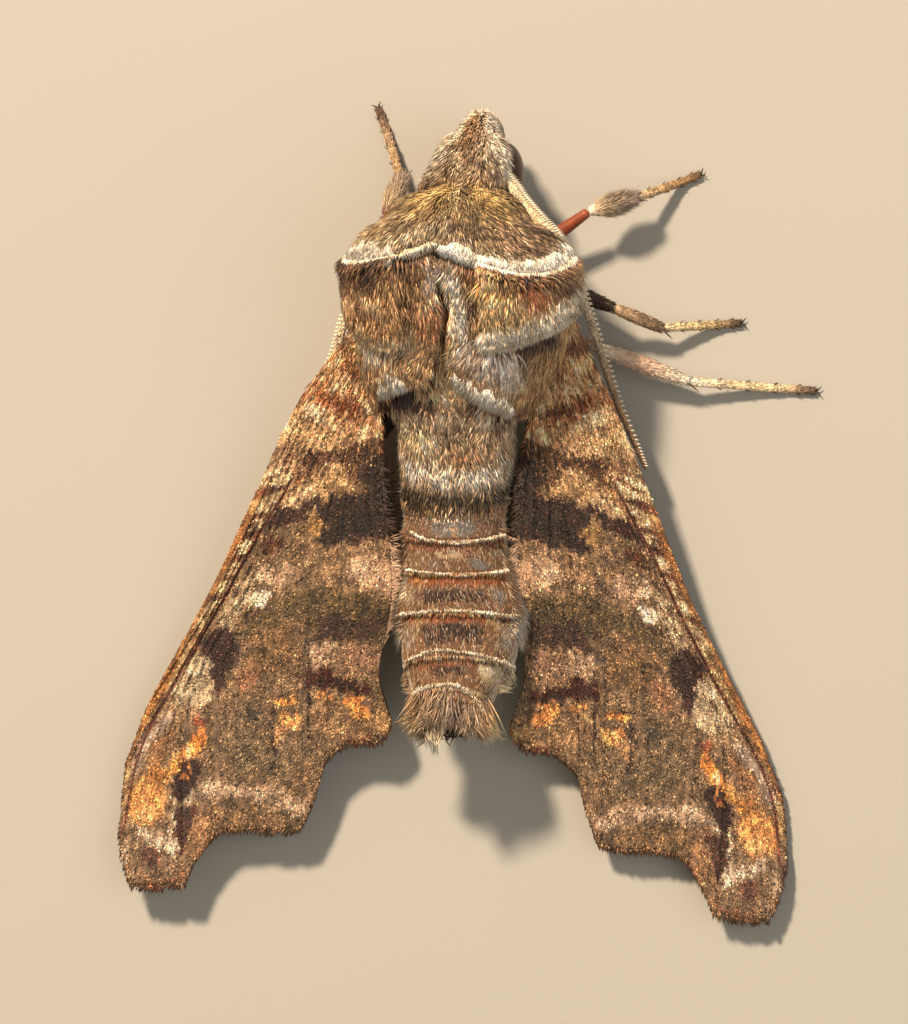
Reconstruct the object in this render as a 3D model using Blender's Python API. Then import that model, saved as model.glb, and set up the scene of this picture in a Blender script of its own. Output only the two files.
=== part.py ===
# Lettered sphinx moth at life size, at rest on a floor with its wings swept back.
# The head points to +Y, the moth's right side is +X and the feet stand at z = 0.
# All sizes below are in millimetres; MM turns them into metres.

import math

import bmesh
import bpy
from mathutils import Vector

MM = 0.001
GAP = 0.3            # clearance between neighbouring pieces
SEAM = 0.18          # half of the cut between two lengths of the body
RING_SIDES = 20      # points round a body section

# Body sections, nose to tail: place along Y, then centre x, centre z, half width,
# height above and below the centre, and the roll of the back towards -X in degrees.
BODY = [
    (18.0, 1.20, 4.60, 0.80, 0.60, 0.60, 5),
    (17.7, 1.20, 4.65, 1.35, 1.15, 1.10, 5),
    (17.0, 1.18, 4.80, 1.85, 1.75, 1.70, 6),
    (16.2, 1.10, 5.00, 2.10, 2.05, 2.20, 6),
    (15.2, 0.92, 5.20, 2.05, 2.25, 2.35, 6),
    (14.5, 0.72, 5.30, 2.25, 2.50, 2.45, 6),
    (13.9, 0.58, 5.35, 2.85, 2.85, 2.65, 6),
    (13.0, 0.50, 5.40, 3.70, 3.20, 2.90, 6),
    (12.0, 0.60, 5.40, 4.20, 3.50, 3.00, 6),
    (10.4, 0.75, 5.40, 4.40, 3.60, 3.10, 6),
    (9.0, 0.80, 5.30, 4.40, 3.60, 3.10, 6),
    (7.6, 0.60, 5.20, 4.10, 3.40, 3.00, 5),
    (6.2, 0.40, 5.00, 3.60, 3.15, 2.85, 4),
    (4.7, 0.25, 4.80, 3.10, 2.90, 2.70, 3),
    (2.9, 0.18, 4.50, 2.98, 2.75, 2.60, 2),
    (0.5, 0.10, 4.05, 2.78, 2.60, 2.50, 0),
    (-1.1, 0.05, 3.76, 2.66, 2.50, 2.45, 0),
    (-2.9, 0.10, 3.55, 2.75, 2.40, 2.40, 0),
    (-5.2, 0.20, 3.62, 3.12, 2.35, 2.30, 0),
    (-6.6, 0.20, 3.90, 2.95, 2.20, 2.10, 0),
    (-7.7, 0.13, 4.20, 2.68, 2.10, 2.00, 0),
    (-8.6, 0.05, 4.55, 2.25, 1.90, 1.80, 0),
    (-9.4, 0.02, 4.95, 1.85, 1.70, 1.60, 0),
    (-11.6, -0.12, 6.05, 2.05, 1.10, 1.10, 0),
]
NECK_Y = 14.75
WAIST_Y = 4.7
SEGMENT_ENDS = [WAIST_Y, 0.1, -1.07, -2.9, -5.2, -7.7, -9.4]
SEGMENT_FLARE = 0.12     # how far a ring's rear edge stands over the next ring
TAIL_CORE_END_Y = -10.3
TAIL_LOCKS = 16          # flat hair locks round the tail, spread to both sides
LOCK_WIDTH = 1.15
LOCK_THICKNESS = 0.5
FLAP_CLEARANCE = 0.38    # between the thorax, its collar and the shoulder flaps
FLAP_THICKNESS = 0.5
HEM_DROP = 0.15          # how far a flap thins towards its rear edge
HEM_DROP_COLLAR = 0.25
TEGULA_TILT = 0.35       # how far the long flap rises towards the wing root
COLLAR_SWELL = (0.3, 0.55)           # rise of the collar on the back and more at its sides
COLLAR_FRONT_Y = 14.6
COLLAR_CUSP_Y = 12.6
COLLAR_HOLLOW = (1.5, 0.8)           # depth of the hollowed edge on the right and left
# Rear edges of the shoulder flaps: turn from the back in degrees, and place along Y.
SHOULDER_EDGE = [(2, 7.8), (10, 6.8), (25, 5.85), (48, 5.2), (68, 4.8), (84, 6.4)]
LOBE_EDGE = [(28, 8.0), (45, 8.3), (66, 9.1), (86, 10.0)]

EYE_CENTRE = (1.45, 16.4, 4.75)      # x is counted from the head's own middle
EYE_RADII = (0.95, 1.5, 1.6)

# Wing sheet coordinates: u runs from the root to the tip, v from the front edge's
# side (negative) towards the inner margin. Each vein starts on the root line along
# the thorax, at the share of it given first, and runs through four more points.
WING_ROOT_Y = (9.9, 5.6)
WING_ROOT_TURN = 96      # degrees from the back, a little below the body's widest
VEINS = [
    (0.00, (4.2, -1.50), (9.2, -1.64), (14.2, -1.72), (19.2, -2.18)),    # front edge
    (0.09, (4.6, -1.15), (10.0, -1.30), (15.6, -1.50), (21.4, -2.46)),   # Sc
    (0.18, (5.0, -0.85), (11.0, -1.05), (17.3, -1.45), (24.4, -2.53)),   # R1
    (0.26, (5.3, -0.60), (12.0, -0.85), (19.4, -1.50), (27.5, -1.77)),   # R2+3
    (0.34, (5.6, -0.35), (12.8, -0.60), (21.0, -1.25), (29.92, 0.00)),   # R4, wing tip
    (0.42, (5.7, -0.10), (12.9, -0.30), (20.8, -0.75), (28.75, 2.35)),   # R5, tip lobe
    (0.50, (5.6, 0.30), (12.6, 0.15), (19.4, 0.05), (25.6, 2.85)),       # M1, notch
    (0.58, (5.4, 0.90), (12.4, 1.10), (18.6, 2.30), (24.75, 4.50)),      # M2
    (0.66, (5.2, 1.45), (11.6, 2.20), (17.6, 4.00), (23.8, 6.50)),       # M3, tooth
    (0.75, (5.0, 1.90), (10.6, 2.95), (15.6, 4.70), (20.4, 6.30)),       # CuA1
    (0.84, (4.85, 2.35), (9.6, 3.60), (14.2, 5.30), (18.35, 8.25)),      # CuA2
    (0.92, (4.8, 2.75), (8.9, 4.20), (13.0, 5.45), (17.0, 8.55)),        # 1A+2A, corner
    (1.00, (4.8, 3.10), (8.4, 4.70), (12.2, 5.65), (16.2, 7.60)),        # inner margin
]
# How far the margin bulges out (or dips, if negative) between the ends of two veins.
MARGIN_BULGE = [0.0, 0.0, 0.0, 0.15, 0.1, -0.2, -0.05, 0.12, 0.1, -0.45, 0.2, 0.0]
WING_ROWS = 18
WING_THICKNESS = 0.55
MARGIN_THICKNESS = 0.3
VEIN_HEIGHT = 0.16
# Height of the wing's front edge, and its rise per millimetre towards the inner
# margin, at some places along u.
WING_HEIGHT = [
    (-1.5, 5.0, 0.03), (0.0, 4.75, 0.05), (5.0, 3.95, 0.12), (10.0, 3.05, 0.13),
    (15.0, 2.15, 0.075), (17.5, 1.80, 0.045), (21.0, 1.38, 0.035), (25.0, 1.08, 0.03),
    (30.5, 0.98, 0.02),
]
WING_CAMBER = 0.3
EDGE_ROLL = 0.45         # how far the front edge is rolled down
# Each wing lies a little differently: which side it is on, its root and its sweep from
# -Y in degrees, its length as a share of the drawn one, its extra height at the root and
# at the tip, and how much further its front edge and inner margin are spread.
FOREWINGS = {
    "right": {"side": 1, "root": (4.9, 8.5), "sweep": 19.2, "reach": 1.0,
              "root_lift": 0.0, "tip_lift": 0.0, "front_spread": 0.0, "inner_spread": 0.0},
    "left": {"side": -1, "root": (-4.52, 8.59), "sweep": 23.8, "reach": 0.982,
             "root_lift": -0.3, "tip_lift": 0.75, "front_spread": 0.6, "inner_spread": 0.45},
}

HINDWING_ROOT_Y = (7.2, 4.0)
HINDWING_ROOT_TURN = 112
HINDWING_VEINS = [
    (0.0, (4.8, 0.0), (8.4, 0.1), (13.4, 0.7)),
    (0.2, (5.2, 0.6), (9.2, 1.1), (15.0, 2.2)),
    (0.4, (5.3, 1.2), (9.2, 2.0), (14.6, 3.6)),
    (0.6, (5.3, 1.8), (9.0, 2.9), (13.4, 4.7)),
    (0.8, (5.3, 2.4), (8.6, 3.6), (12.0, 5.2)),
    (1.0, (5.3, 3.0), (7.8, 4.0), (10.2, 5.0)),
]
HINDWING_ROWS = 7

SOLE_Z = 0.17            # height of a foot's middle; the sole below it is cut flat
# Legs: hip, knee, ankle and foot, and the radii of femur, tibia and foot.
LEGS = {
    "fore_right": ((2.9, 12.2, 1.55), (6.25, 14.4, 2.45), (8.3, 15.0, 2.1),
                   (11.35, 16.25, SOLE_Z), (0.42, 0.72, 0.26)),
    "fore_left": ((-1.9, 12.9, 1.55), (-3.75, 14.3, 2.3), (-3.12, 16.0, 1.6),
                  (-4.5, 19.6, SOLE_Z), (0.42, 0.55, 0.26)),
    "mid_right": ((3.3, 11.3, 1.5), (7.45, 9.75, 2.25), (9.65, 8.8, 1.35),
                  (13.35, 9.05, SOLE_Z), (0.58, 0.42, 0.26)),
    "mid_left": ((-1.6, 10.4, 1.4), (-5.2, 9.0, 2.0), (-6.5, 6.8, 1.3),
                 (-8.4, 3.3, SOLE_Z), (0.55, 0.42, 0.26)),
    "hind_right": ((2.6, 8.6, 1.5), (6.3, 7.95, 1.9), (10.95, 6.2, 1.15),
                   (17.0, 5.75, SOLE_Z), (0.5, 0.5, 0.26)),
    "hind_left": ((-1.4, 8.2, 1.4), (-4.4, 6.9, 1.9), (-5.7, 3.2, 1.2),
                  (-7.0, -2.2, SOLE_Z), (0.5, 0.5, 0.26)),
}
# Antennae: base, under the shoulder, beside the wing's front edge, hooked tip.
ANTENNAE = {
    "right": ((2.45, 16.45, 7.2), (3.2, 15.6, 6.7), (4.5, 14.4, 5.4), (5.5, 13.0, 4.25),
              (5.95, 11.2, 3.85), (6.6, 9.1, 3.5), (7.25, 7.0, 3.0), (7.85, 5.0, 2.75),
              (8.65, 3.0, 2.5), (9.1, 1.9, 2.4)),
    "left": ((-0.4, 16.45, 7.2), (-1.5, 15.6, 6.3), (-3.2, 14.4, 4.5), (-4.2, 13.0, 3.4),
             (-4.9, 11.2, 3.2), (-5.5, 9.4, 3.1), (-6.15, 7.5, 2.9), (-7.2, 5.3, 2.7),
             (-8.3, 2.9, 2.4), (-8.75, 1.8, 2.3)),
}
ANTENNA_RADIUS = 0.27

# Colour, roughness and metallic value of each kind of piece.
FINISH = {
    "fur": ((0.24, 0.17, 0.11), 0.9, 0.0),
    "collar": ((0.40, 0.31, 0.19), 0.9, 0.0),
    "shoulder": ((0.26, 0.19, 0.15), 0.9, 0.0),
    "ring": ((0.22, 0.15, 0.12), 0.7, 0.0),
    "eye": ((0.05, 0.01, 0.01), 0.15, 0.0),
    "feeler": ((0.60, 0.50, 0.34), 0.7, 0.0),
    "wing": ((0.23, 0.16, 0.12), 0.75, 0.0),
    "underwing": ((0.52, 0.25, 0.08), 0.75, 0.0),
    "leg": ((0.45, 0.36, 0.25), 0.75, 0.0),
    "tuft": ((0.48, 0.28, 0.12), 0.85, 0.0),
}


def smooth_row(rows, place):
    """Cubic curve through rows sorted by their first value, read at one place."""
    rows = sorted(rows)
    place = min(max(place, rows[0][0]), rows[-1][0])
    at = max(k for k in range(len(rows) - 1) if rows[k][0] <= place)
    near, far = rows[at], rows[at + 1]
    step = far[0] - near[0]
    part = (place - near[0]) / step

    def slope(k, column):
        low, high = rows[max(k - 1, 0)], rows[min(k + 1, len(rows) - 1)]
        return (high[column] - low[column]) / (high[0] - low[0])

    values = []
    for column in range(1, len(near)):
        start, end = slope(at, column) * step, slope(at + 1, column) * step
        values.append(
            (2 * part ** 3 - 3 * part ** 2 + 1) * near[column]
            + (part ** 3 - 2 * part ** 2 + part) * start
            + (3 * part ** 2 - 2 * part ** 3) * far[column]
            + (part ** 3 - part ** 2) * end
        )
    return values


def through(points, part):
    """Point at a part, 0 to 1, of the smooth curve through evenly counted points."""
    rows = [(k / (len(points) - 1), *point) for k, point in enumerate(points)]
    return smooth_row(rows, part)


def ease(value):
    """Smooth step from 0 to 1."""
    value = min(max(value, 0.0), 1.0)
    return value * value * (3 - 2 * value)


def body_point(y, turn, out=0.0):
    """Point of the body's surface; turn is the angle from the back towards +X."""
    x, z, width, up, down, roll = smooth_row(BODY, y)
    ahead = smooth_row(BODY, y + 0.05)
    behind = smooth_row(BODY, y - 0.05)
    forward = Vector((0.0, 0.1, ahead[1] - behind[1])).normalized()
    above = Vector((1, 0, 0)).cross(forward).normalized()
    side = forward.cross(above)
    tilt = math.radians(roll)
    above, side = (above * math.cos(tilt) - side * math.sin(tilt),
                   side * math.cos(tilt) + above * math.sin(tilt))
    height = up if math.cos(turn) > 0 else down
    outward = Vector((math.sin(turn) / width, math.cos(turn) / height)).normalized() * out
    across = width * math.sin(turn) + outward.x
    lift = height * math.cos(turn) + outward.y
    return Vector((x, y, z)) + side * across + above * lift


def finish_node(name, mesh, kind):
    """Put a mesh in the scene as one named piece with its own material."""
    colour, roughness, metallic = FINISH[kind]
    material = bpy.data.materials.new(name + " " + kind)
    material.use_nodes = True
    shader = material.node_tree.nodes["Principled BSDF"]
    shader.inputs["Base Color"].default_value = (*colour, 1.0)
    shader.inputs["Roughness"].default_value = roughness
    shader.inputs["Metallic"].default_value = metallic
    mesh.materials.clear()
    mesh.materials.append(material)
    mesh.shade_smooth()
    mesh.set_sharp_from_angle(angle=math.radians(50))
    piece = bpy.data.objects.new(name, mesh)
    moth.objects.link(piece)
    return piece


def mesh_of(name, build):
    """Mesh in metres whose points and faces are added by build, facing outwards."""
    shape = bmesh.new()
    build(shape)
    bmesh.ops.recalc_face_normals(shape, faces=shape.faces)
    bmesh.ops.scale(shape, vec=(MM, MM, MM), verts=shape.verts)
    mesh = bpy.data.meshes.new(name)
    shape.to_mesh(mesh)
    shape.free()
    return mesh


def loft(name, sections, kind):
    """Closed body through rings of equal count, its two ends filled by fans."""
    def build(shape):
        rings = [[shape.verts.new(point) for point in ring] for ring in sections]
        count = len(rings[0])
        for near, far in zip(rings, rings[1:]):
            for k in range(count):
                after = (k + 1) % count
                shape.faces.new((near[k], near[after], far[after], far[k]))
        for ring in (rings[0], rings[-1]):
            middle = sum((corner.co for corner in ring), Vector()) / count
            hub = shape.verts.new(middle)
            for k in range(count):
                shape.faces.new((ring[k], ring[(k + 1) % count], hub))
    return finish_node(name, mesh_of(name, build), kind)


def plate(name, upper, lower, kind):
    """Closed plate between two grids of points, split into triangles alike."""
    def build(shape):
        sheets = [[[shape.verts.new(point) for point in row] for row in grid]
                  for grid in (upper, lower)]
        rows, columns = len(upper), len(upper[0])
        for sheet in sheets:
            for i in range(rows - 1):
                for j in range(columns - 1):
                    near, right = sheet[i][j], sheet[i][j + 1]
                    far, left = sheet[i + 1][j + 1], sheet[i + 1][j]
                    shape.faces.new((near, right, far))
                    shape.faces.new((near, far, left))
        rim = [(0, j) for j in range(columns)]
        rim += [(i, columns - 1) for i in range(1, rows)]
        rim += [(rows - 1, j) for j in range(columns - 2, -1, -1)]
        rim += [(i, 0) for i in range(rows - 2, 0, -1)]
        for (i, j), (m, n) in zip(rim, rim[1:] + rim[:1]):
            shape.faces.new((sheets[0][i][j], sheets[0][m][n], sheets[1][m][n], sheets[1][i][j]))
    return finish_node(name, mesh_of(name, build), kind)


def tube(name, points, radii, kind, spans, sides=2, floor=None):
    """Round limb along the smooth curve through points, with a radius at each."""
    curve = bpy.data.curves.new(name, "CURVE")
    curve.dimensions = "3D"
    curve.bevel_depth = MM
    curve.bevel_resolution = sides
    curve.use_fill_caps = True
    spline = curve.splines.new("POLY")
    spline.points.add(spans)
    for k in range(spans + 1):
        x, y, z = through(points, k / spans)
        spline.points[k].co = (x * MM, y * MM, z * MM, 1)
        spline.points[k].radius = through([(radius,) for radius in radii], k / spans)[0]
    guide = bpy.data.objects.new(name + " path", curve)
    guides.objects.link(guide)
    bpy.context.view_layer.update()
    depsgraph = bpy.context.evaluated_depsgraph_get()
    mesh = bpy.data.meshes.new_from_object(guide.evaluated_get(depsgraph))
    bpy.data.objects.remove(guide)
    shape = bmesh.new()
    shape.from_mesh(mesh)
    bmesh.ops.remove_doubles(shape, verts=shape.verts, dist=0.00001)
    if floor is not None:
        for corner in shape.verts:
            corner.co.z = max(corner.co.z, floor)
    bmesh.ops.recalc_face_normals(shape, faces=shape.faces)
    shape.to_mesh(mesh)
    shape.free()
    return finish_node(name, mesh, kind)


def ring(y, out=0.0):
    """Body section at y."""
    return [body_point(y, 2 * math.pi * k / RING_SIDES, out) for k in range(RING_SIDES)]


def places(start, end, count):
    """Evenly spaced values from start to end."""
    return [start + (end - start) * k / (count - 1) for k in range(count)]


def ellipsoid(name, centre, radii, collection):
    """Smooth ball from the sphere primitive, scaled before it is used."""
    bpy.ops.mesh.primitive_uv_sphere_add(segments=16, ring_count=10, radius=MM)
    ball = bpy.context.object
    ball.name = name
    for corner in ball.data.vertices:
        corner.co = [(c + p * r / MM * MM) for c, p, r in
                     zip([value * MM for value in centre], corner.co, radii)]
    for owner in list(ball.users_collection):
        owner.objects.unlink(ball)
    collection.objects.link(ball)
    return ball


def eye_centre(side):
    """Middle of an eye, set out from the head's own middle and rolled with it."""
    x, z, _, _, _, roll = smooth_row(BODY, EYE_CENTRE[1])
    across = side * EYE_CENTRE[0]
    return (x + across, EYE_CENTRE[1], EYE_CENTRE[2] + across * math.sin(math.radians(roll)))


def make_head():
    """Head with a socket for each eye, the eyes, and the upturned palps."""
    stations = [18.0, 17.7, 17.3, 16.8, 16.2, 15.5, NECK_Y + SEAM]
    head = loft("head", [ring(y) for y in stations], "fur")
    for side, label in ((1, "right"), (-1, "left")):
        centre = eye_centre(side)
        socket = ellipsoid("socket " + label, centre, [r + GAP for r in EYE_RADII], guides)
        socket.hide_render = True
        socket.display_type = "WIRE"
        cut = head.modifiers.new("socket " + label, "BOOLEAN")
        cut.operation = "DIFFERENCE"
        cut.object = socket
        ball = ellipsoid("eye_" + label, centre, EYE_RADII, guides)
        mesh = ball.data
        bpy.data.objects.remove(ball)
        finish_node("eye_" + label, mesh, "eye")
        palp = [(1.0 + side * 0.6, 16.9, 2.0), (1.1 + side * 0.76, 18.1, 2.45),
                (1.15 + side * 0.76, 18.72, 3.4), (1.2 + side * 0.48, 19.05, 4.7)]
        tube("palp_" + label, palp, (0.35, 0.55, 0.6, 0.28), "fur", 7)


def collar_edge(turn):
    """Rear edge of the collar: a cusp on the back, hollowed more on the right side."""
    hollow = COLLAR_HOLLOW[0] if turn > 0 else COLLAR_HOLLOW[1]
    return COLLAR_CUSP_Y - hollow * math.sin(math.pi * min(abs(turn) / math.radians(95), 1.0))


def shoulder_edge(turn):
    """Rear edge of the long shoulder flap, drawn out behind over the wing root."""
    return smooth_row(SHOULDER_EDGE, math.degrees(abs(turn)))[0]


def lobe_edge(turn):
    """Rear edge of the short outer flap."""
    return smooth_row(LOBE_EDGE, math.degrees(abs(turn)))[0]


def flap(name, side, degrees, front, rear, under, over, kind, rows):
    """Curved flap that lies over the thorax, between two heights above it.

    degrees holds the turns of its first and last edge and the strips between them.
    """
    first, last, strips = degrees
    turns = [math.radians(turn) for turn in places(first, last, strips + 1)]
    grids = []
    for height in (over, under):
        grid = []
        for part in places(0.0, 1.0, rows):
            line = []
            for turn in turns:
                near, far = front(side * turn), rear(side * turn)
                y = near + (far - near) * part
                line.append(body_point(y, side * turn, height(part, turn)))
            grid.append(line)
        grids.append(grid)
    plate(name, grids[0], grids[1], kind)


def make_thorax():
    """Thorax with its collar and the shoulder flaps over the wing roots."""
    stations = places(NECK_Y - SEAM, WAIST_Y + SEAM, 13)
    loft("thorax", [ring(y) for y in stations], "fur")

    def swell(turn):
        return COLLAR_SWELL[0] + COLLAR_SWELL[1] * math.sin(turn) ** 2

    def hem(part):
        return HEM_DROP * ease(6 * part - 5)

    def tilt(part, turn):
        return TEGULA_TILT * ease(part) * math.sin(turn)

    low, high = FLAP_CLEARANCE, 2 * FLAP_CLEARANCE + FLAP_THICKNESS
    for side, label in ((1, "right"), (-1, "left")):
        flap("collar_" + label, side, (3, 96, 9), lambda turn: COLLAR_FRONT_Y, collar_edge,
             lambda part, turn: low,
             lambda part, turn: low + 0.2 + swell(turn) * ease(1.3 * part)
             - HEM_DROP_COLLAR * ease(6 * part - 5), "collar", 6)
        flap("tegula_" + label, side, (3, 84, 9), lambda turn: collar_edge(turn) - GAP,
             shoulder_edge, lambda part, turn: low + tilt(part, turn),
             lambda part, turn: low + FLAP_THICKNESS - hem(part) + tilt(part, turn),
             "shoulder", 9)
        flap("shoulder_" + label, side, (28, 86, 6),
             lambda turn: collar_edge(turn) - 1.5 * GAP, lobe_edge,
             lambda part, turn: high, lambda part, turn: high + FLAP_THICKNESS - hem(part),
             "shoulder", 5)


def make_abdomen():
    """Abdomen rings, each one flared over the front of the next."""
    for number, (front, rear) in enumerate(zip(SEGMENT_ENDS, SEGMENT_ENDS[1:]), 1):
        stations = places(front - SEAM, rear + SEAM, 5 if number == 1 else 4)
        sections = []
        for k, y in enumerate(stations):
            sections.append(ring(y, SEGMENT_FLARE * (k / (len(stations) - 1) - 0.5)))
        loft("abdomen_%d" % number, sections, "ring")


def lock_sections(turn, end_y, sway):
    """Four-cornered rings of a flat lock that tapers, bends outwards and ends in a tip."""
    start_y = SEGMENT_ENDS[-1] - SEAM - 0.25
    sections = []
    for part in places(0.0, 1.0, 5):
        y = start_y + (end_y - start_y) * part
        here = turn + sway * part * part
        middle = body_point(y, here, -0.5 + 0.35 * part)
        outward = (body_point(y, here, 1.0) - body_point(y, here)).normalized()
        across = outward.cross(Vector((0, -1, 0))).normalized()
        taper = 1 - 0.85 * part ** 2.5
        wide = across * LOCK_WIDTH / 2 * taper
        deep = outward * LOCK_THICKNESS / 2 * (1 - 0.6 * part ** 2)
        sections.append([middle + wide, middle + deep, middle - wide, middle - deep])
    return sections


def make_tail():
    """Tail tuft: a short core and its locks, joined into one closed body."""
    front = SEGMENT_ENDS[-1] - SEAM
    stations = places(front, TAIL_CORE_END_Y, 4)
    sections = [ring(y, -0.15 - 0.6 * k / 3) for k, y in enumerate(stations)]
    core = loft("tail_tuft", sections, "tuft")
    locks = bpy.data.collections.new("tail locks")
    guides.children.link(locks)
    for k in range(TAIL_LOCKS):
        turn = 2 * math.pi * (k + 0.5) / TAIL_LOCKS
        sideways = abs(math.sin(turn))
        end_y = -11.35 + 0.15 * sideways - 0.2 * (k % 2)
        lock = loft("lock %d" % k, lock_sections(turn, end_y, 0.15 * (-1) ** k), "tuft")
        moth.objects.unlink(lock)
        locks.objects.link(lock)
    join = core.modifiers.new("locks", "BOOLEAN")
    join.operation = "UNION"
    join.operand_type = "COLLECTION"
    join.collection = locks
    bpy.context.view_layer.update()
    depsgraph = bpy.context.evaluated_depsgraph_get()
    mesh = bpy.data.meshes.new_from_object(core.evaluated_get(depsgraph))
    core.modifiers.clear()
    core.data = mesh
    for lock in list(locks.objects):
        bpy.data.objects.remove(lock)
    keep_largest(mesh)


def keep_largest(mesh):
    """Leave only the largest connected surface of a joined mesh."""
    shape = bmesh.new()
    shape.from_mesh(mesh)
    left, largest = set(shape.faces), set()
    while left:
        surface, edge = set(), [left.pop()]
        while edge:
            face = edge.pop()
            surface.add(face)
            touching = {other for side in face.edges for other in side.link_faces}
            edge.extend(touching & left)
            left -= touching
        if len(surface) > len(largest):
            largest = surface
    bmesh.ops.delete(shape, geom=[face for face in shape.faces if face not in largest],
                     context="FACES")
    shape.to_mesh(mesh)
    shape.free()


def wing_place(wing, u, v):
    """World place of wing sheet coordinates; z is the height of the upper face."""
    lie = FOREWINGS[wing]
    angle = math.radians(lie["sweep"])
    root, side = lie["root"], lie["side"]
    near_front = min(max((0.5 - v) / 2.8, 0.0), 1.0)
    near_inner = min(max(v / 5.0 - 0.3, 0.0), 1.0)
    spread = v - lie["front_spread"] * near_front * math.sin(math.pi * ease(u / 33.0))
    spread += lie["inner_spread"] * near_inner * math.sin(math.pi * ease((u - 6.5) / 9.5))
    along = u * lie["reach"]
    x = root[0] + side * (along * math.sin(angle) - spread * math.cos(angle))
    y = root[1] - along * math.cos(angle) - spread * math.sin(angle)
    edge, rise = smooth_row(WING_HEIGHT, u)
    from_edge = v + 1.7
    z = edge + rise * from_edge + lie["root_lift"]
    z += (lie["tip_lift"] - lie["root_lift"]) * max(u, 0) / 30
    z += WING_CAMBER * math.sin(math.pi * min(max(from_edge / 9.0, 0.0), 1.0))
    z -= EDGE_ROLL * (1 - min(max((from_edge + 0.3) / 0.9, 0.0), 1.0)) ** 2
    return Vector((x, y, z))


def root_place(wing, y, turn):
    """Wing sheet coordinates of the place on the root line beside the thorax at y."""
    lie = FOREWINGS[wing]
    angle = math.radians(lie["sweep"])
    spot = body_point(y, lie["side"] * math.radians(turn), GAP + 0.1)
    across, along = lie["side"] * (spot.x - lie["root"][0]), lie["root"][1] - spot.y
    return ((across * math.sin(angle) + along * math.cos(angle)) / lie["reach"],
            along * math.sin(angle) - across * math.cos(angle))


def sheet_columns(wing, root_y, root_turn, veins, bulges, rows):
    """Grid of (place, on_vein, edge) whose columns follow the veins of a wing."""
    lines = []
    for share, *points in veins:
        y = root_y[0] + (root_y[1] - root_y[0]) * share
        lines.append([root_place(wing, y, root_turn), *points])
    grid = []
    for part in places(0.0, 1.0, rows):
        row = []
        for k, line in enumerate(lines):
            here = Vector(through(line, part))
            edge = k in (0, len(lines) - 1) or part in (0.0, 1.0)
            row.append((here, True, edge))
            if k + 1 == len(lines):
                break
            there = Vector(through(lines[k + 1], part))
            chord = there - here
            outward = Vector((chord.y, -chord.x)).normalized()
            for share in (0.3, 0.7):
                bulge = bulges[k] * 4 * share * (1 - share) * part ** 8
                row.append((here + chord * share + outward * bulge, False, part in (0.0, 1.0)))
        grid.append(row)
    return grid


def wing_plate(name, wing, grid, drop, kind):
    """Wing sheet with its veins raised in the upper face and a thin margin."""
    upper, lower = [], []
    for row in grid:
        tops, bottoms = [], []
        for place, on_vein, edge in row:
            top = wing_place(wing, *place) - Vector((0, 0, drop))
            thick = MARGIN_THICKNESS if edge else WING_THICKNESS
            sunk = (WING_THICKNESS - thick) / 2
            ridge = VEIN_HEIGHT if on_vein and not edge else 0.0
            tops.append(top + Vector((0, 0, ridge - sunk)))
            bottoms.append(top - Vector((0, 0, sunk + thick)))
        upper.append(tops)
        lower.append(bottoms)
    plate(name, upper, lower, kind)


def make_wings():
    """Forewings, and the hindwings folded out of sight beneath them."""
    for wing in FOREWINGS:
        grid = sheet_columns(wing, WING_ROOT_Y, WING_ROOT_TURN, VEINS, MARGIN_BULGE,
                             WING_ROWS)
        wing_plate("forewing_" + wing, wing, grid, 0.0, "wing")
        bulges = [0.2] * (len(HINDWING_VEINS) - 1)
        grid = sheet_columns(wing, HINDWING_ROOT_Y, HINDWING_ROOT_TURN, HINDWING_VEINS,
                             bulges, HINDWING_ROWS)
        wing_plate("hindwing_" + wing, wing, grid, WING_THICKNESS + VEIN_HEIGHT + GAP,
                   "underwing")


def toward(start, end, distance):
    """Point at a distance from start on the way to end."""
    start, end = Vector(start), Vector(end)
    return start + (end - start).normalized() * distance


def make_legs():
    """Femur, tibia and foot of each leg, the soles cut flat on the floor."""
    for label, (hip, knee, ankle, foot, radii) in LEGS.items():
        thigh, shin, toe = radii
        clear = 0.5
        middle = (Vector(hip) + Vector(knee)) / 2
        tube("femur_" + label, [hip, middle, toward(knee, hip, clear)],
             (thigh * 0.8, thigh, 0.3), "leg", 5)
        middle = (Vector(knee) + Vector(ankle)) / 2
        tube("tibia_" + label, [toward(knee, ankle, GAP / 2), middle,
                                toward(ankle, knee, GAP * 0.7)],
             (0.28, shin, 0.3), "leg", 5)
        start, end = Vector(ankle), Vector(foot)
        landing = start.lerp(end, 0.72)
        landing.z = foot[2] + 0.12
        bend = start.lerp(end, 0.36)
        bend.z = start.z * 0.5 + foot[2] * 0.5
        tube("tarsus_" + label, [toward(ankle, foot, GAP * 0.7), bend, landing, end],
             (toe, toe, toe, toe * 1.15), "leg", 8, floor=0.0)


def make_antennae():
    """Antennae swept back under the shoulders and along the wings' front edges."""
    for label, points in ANTENNAE.items():
        radius = ANTENNA_RADIUS
        tube("antenna_" + label, points, (radius, radius, radius, radius, 0.25, 0.1),
             "feeler", 18, sides=1)


for old in list(bpy.data.objects):
    bpy.data.objects.remove(old)
moth = bpy.data.collections.new("lettered_sphinx_moth")
guides = bpy.data.collections.new("guides")
for group in (moth, guides):
    bpy.context.scene.collection.children.link(group)
make_head()
make_thorax()
make_abdomen()
make_tail()
make_wings()
make_legs()
make_antennae()
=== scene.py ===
# Lettered sphinx moth at rest with its wings swept back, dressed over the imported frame.
# The head points to +Y, the moth's right side is +X, the floor is z = 0. Sizes are in mm.
import math
import bpy
import numpy as np
from mathutils import Matrix, Vector


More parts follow.
